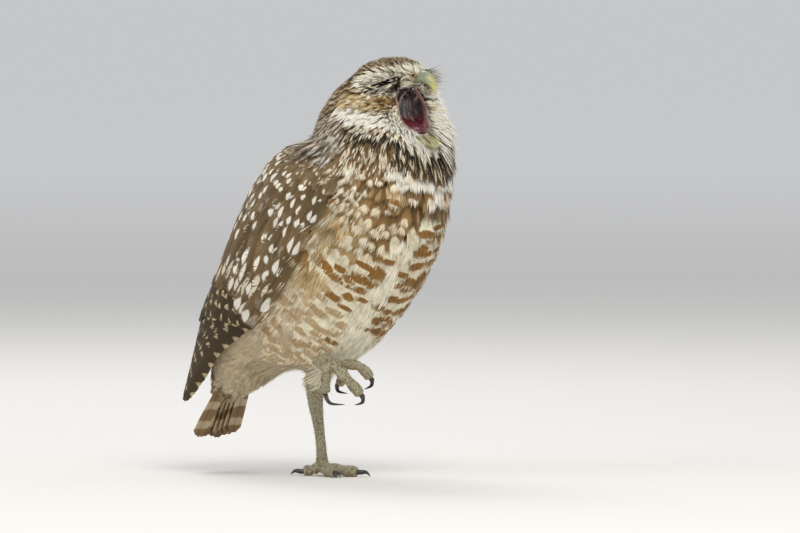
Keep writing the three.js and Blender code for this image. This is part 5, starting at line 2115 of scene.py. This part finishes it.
    @staticmethod
    def rest_flat(flesh: bpy.types.Object, leg: Leg) -> None:
        """Marks the soles, presses what would sink into the floor flat, and smooths the skin."""
        mesh = flesh.data
        co = np.empty(len(mesh.vertices) * 3, np.float32)
        mesh.vertices.foreach_get("co", co)
        co = co.reshape(-1, 3)
        normal = np.empty(len(mesh.vertices) * 3, np.float32)
        mesh.vertices.foreach_get("normal", normal)
        below = smooth(-0.45, -0.85, normal.reshape(-1, 3)[:, 2])
        if leg.floor:
            below = below * smooth(0.03, 0.02, co[:, 2])
            co[:, 2] = np.maximum(co[:, 2], 0.0)
        mesh.vertices.foreach_set("co", co.ravel())
        layer = mesh.attributes.new("under", "FLOAT_VECTOR", "POINT")
        layer.data.foreach_set("vector", np.repeat(below[:, None], 3, 1).astype(np.float32).ravel())
        mesh.shade_smooth()
        mesh.update()


@dataclass
class Stage:
    """A pale floor, soft light from a pale world and large lamps, and the camera."""

    azimuth: float = 38.0
    elevation: float = 2.0
    target: Triple = (41.3, 0, 111)
    distance: float = 4.711
    lens: float = 400.0

    def floor(self) -> None:
        """A large round floor in a pale matt finish that turns white far off, like the world."""
        sh = Shader("floor")
        x, y, _ = sh.split(sh.place())
        far = sh.math("SQRT", sh.plus(sh.power(x, 2.0), sh.power(y, 2.0)))
        grain = sh.steps(sh.noise(sh.place(), 90.0, 4.0), 0.3, 0.7, (0.985, 1.0))
        pale = sh.shade((0.80, 0.79, 0.77), grain)
        colour = sh.mix(sh.steps(far, 0.6, 7.0), pale, (1.0, 1.0, 1.0))
        material = sh.finish(colour, 0.9, {"Specular IOR Level": 0.0})
        bpy.ops.mesh.primitive_circle_add(vertices=96, radius=30.0, fill_type="NGON", location=(0, 0, 0))
        floor = bpy.context.object
        floor.name = "stage_floor"
        floor.data.materials.append(material)

    def light(self) -> None:
        """A pale world and three large soft lamps: a key high on the left, a fill and a rim."""
        world = bpy.data.worlds.new("pale world")
        world.use_nodes = True
        back = world.node_tree.nodes["Background"]
        back.inputs["Color"].default_value = (0.97, 0.98, 1.0, 1.0)
        back.inputs["Strength"].default_value = 0.58
        bpy.context.scene.world = world
        bpy.context.scene.view_settings.view_transform = "Standard"
        a = np.radians(self.azimuth)
        right, ahead = np.array([np.cos(a), np.sin(a), 0]), np.array([-np.sin(a), np.cos(a), 0])
        middle = np.array([0.0, 0.0, 0.12])
        lamps = (
            ("key", 0.35, -1.1, 1.35, 0.9, 15.0, (1.0, 0.97, 0.90)),
            ("fill", -1.3, -0.8, 0.7, 1.2, 5.0, (1.0, 0.99, 0.96)),
            ("rim", -0.3, 1.1, 1.3, 1.0, 10.0, (1.0, 0.98, 0.95)),
        )
        for name, across, away, up, size, power, colour in lamps:
            lamp = bpy.data.lights.new(name, "AREA")
            lamp.shape = "DISK"
            lamp.size = size
            lamp.energy = power
            lamp.color = colour
            made = bpy.data.objects.new(f"stage_{name}", lamp)
            place = middle + right * across + ahead * away + np.array([0, 0, up])
            self.aim(made, place, middle)
            bpy.context.scene.collection.objects.link(made)

    def camera(self) -> None:
        """The camera of the photo: level, a little above, and far away with a long lens."""
        a, e = np.radians(self.azimuth), np.radians(self.elevation)
        right = np.array([np.cos(a), np.sin(a), 0])
        look = np.array([-np.sin(a) * np.cos(e), np.cos(a) * np.cos(e), -np.sin(e)])
        rise = np.cross(right, look)
        target = (right * self.target[0] + rise * self.target[2]) * MM
        seen = bpy.data.cameras.new("camera")
        seen.lens = self.lens
        seen.sensor_width = 36.0
        seen.clip_end = 50.0
        made = bpy.data.objects.new("camera", seen)
        bpy.context.scene.collection.objects.link(made)
        self.aim(made, target - look * self.distance, target)
        bpy.context.scene.camera = made

    @staticmethod
    def aim(made: bpy.types.Object, place: Array, target: Array) -> None:
        """Sets an object at a place, looking at a target."""
        ahead = unit(np.asarray(target) - place)
        right = unit(np.cross(ahead, np.array([0, 0, 1.0])))
        rise = np.cross(right, ahead)
        turn = Matrix((*zip(right, rise, -ahead),))
        made.matrix_world = Matrix.Translation(Vector(place)) @ turn.to_4x4()


def main() -> None:
    """Builds the owl, its stage and camera."""
    logging.basicConfig(level=logging.INFO, format="%(name)s: %(message)s")
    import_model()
    owl = Owl()
    owl.build_skin()
    owl.dress_coat()
    owl.dress_bill()
    owl.dress_lids()
    owl.build_wings()
    owl.build_face()
    owl.build_legs()
    stage = Stage()
    stage.floor()
    stage.light()
    stage.camera()


if __name__ == "__main__":
    main()
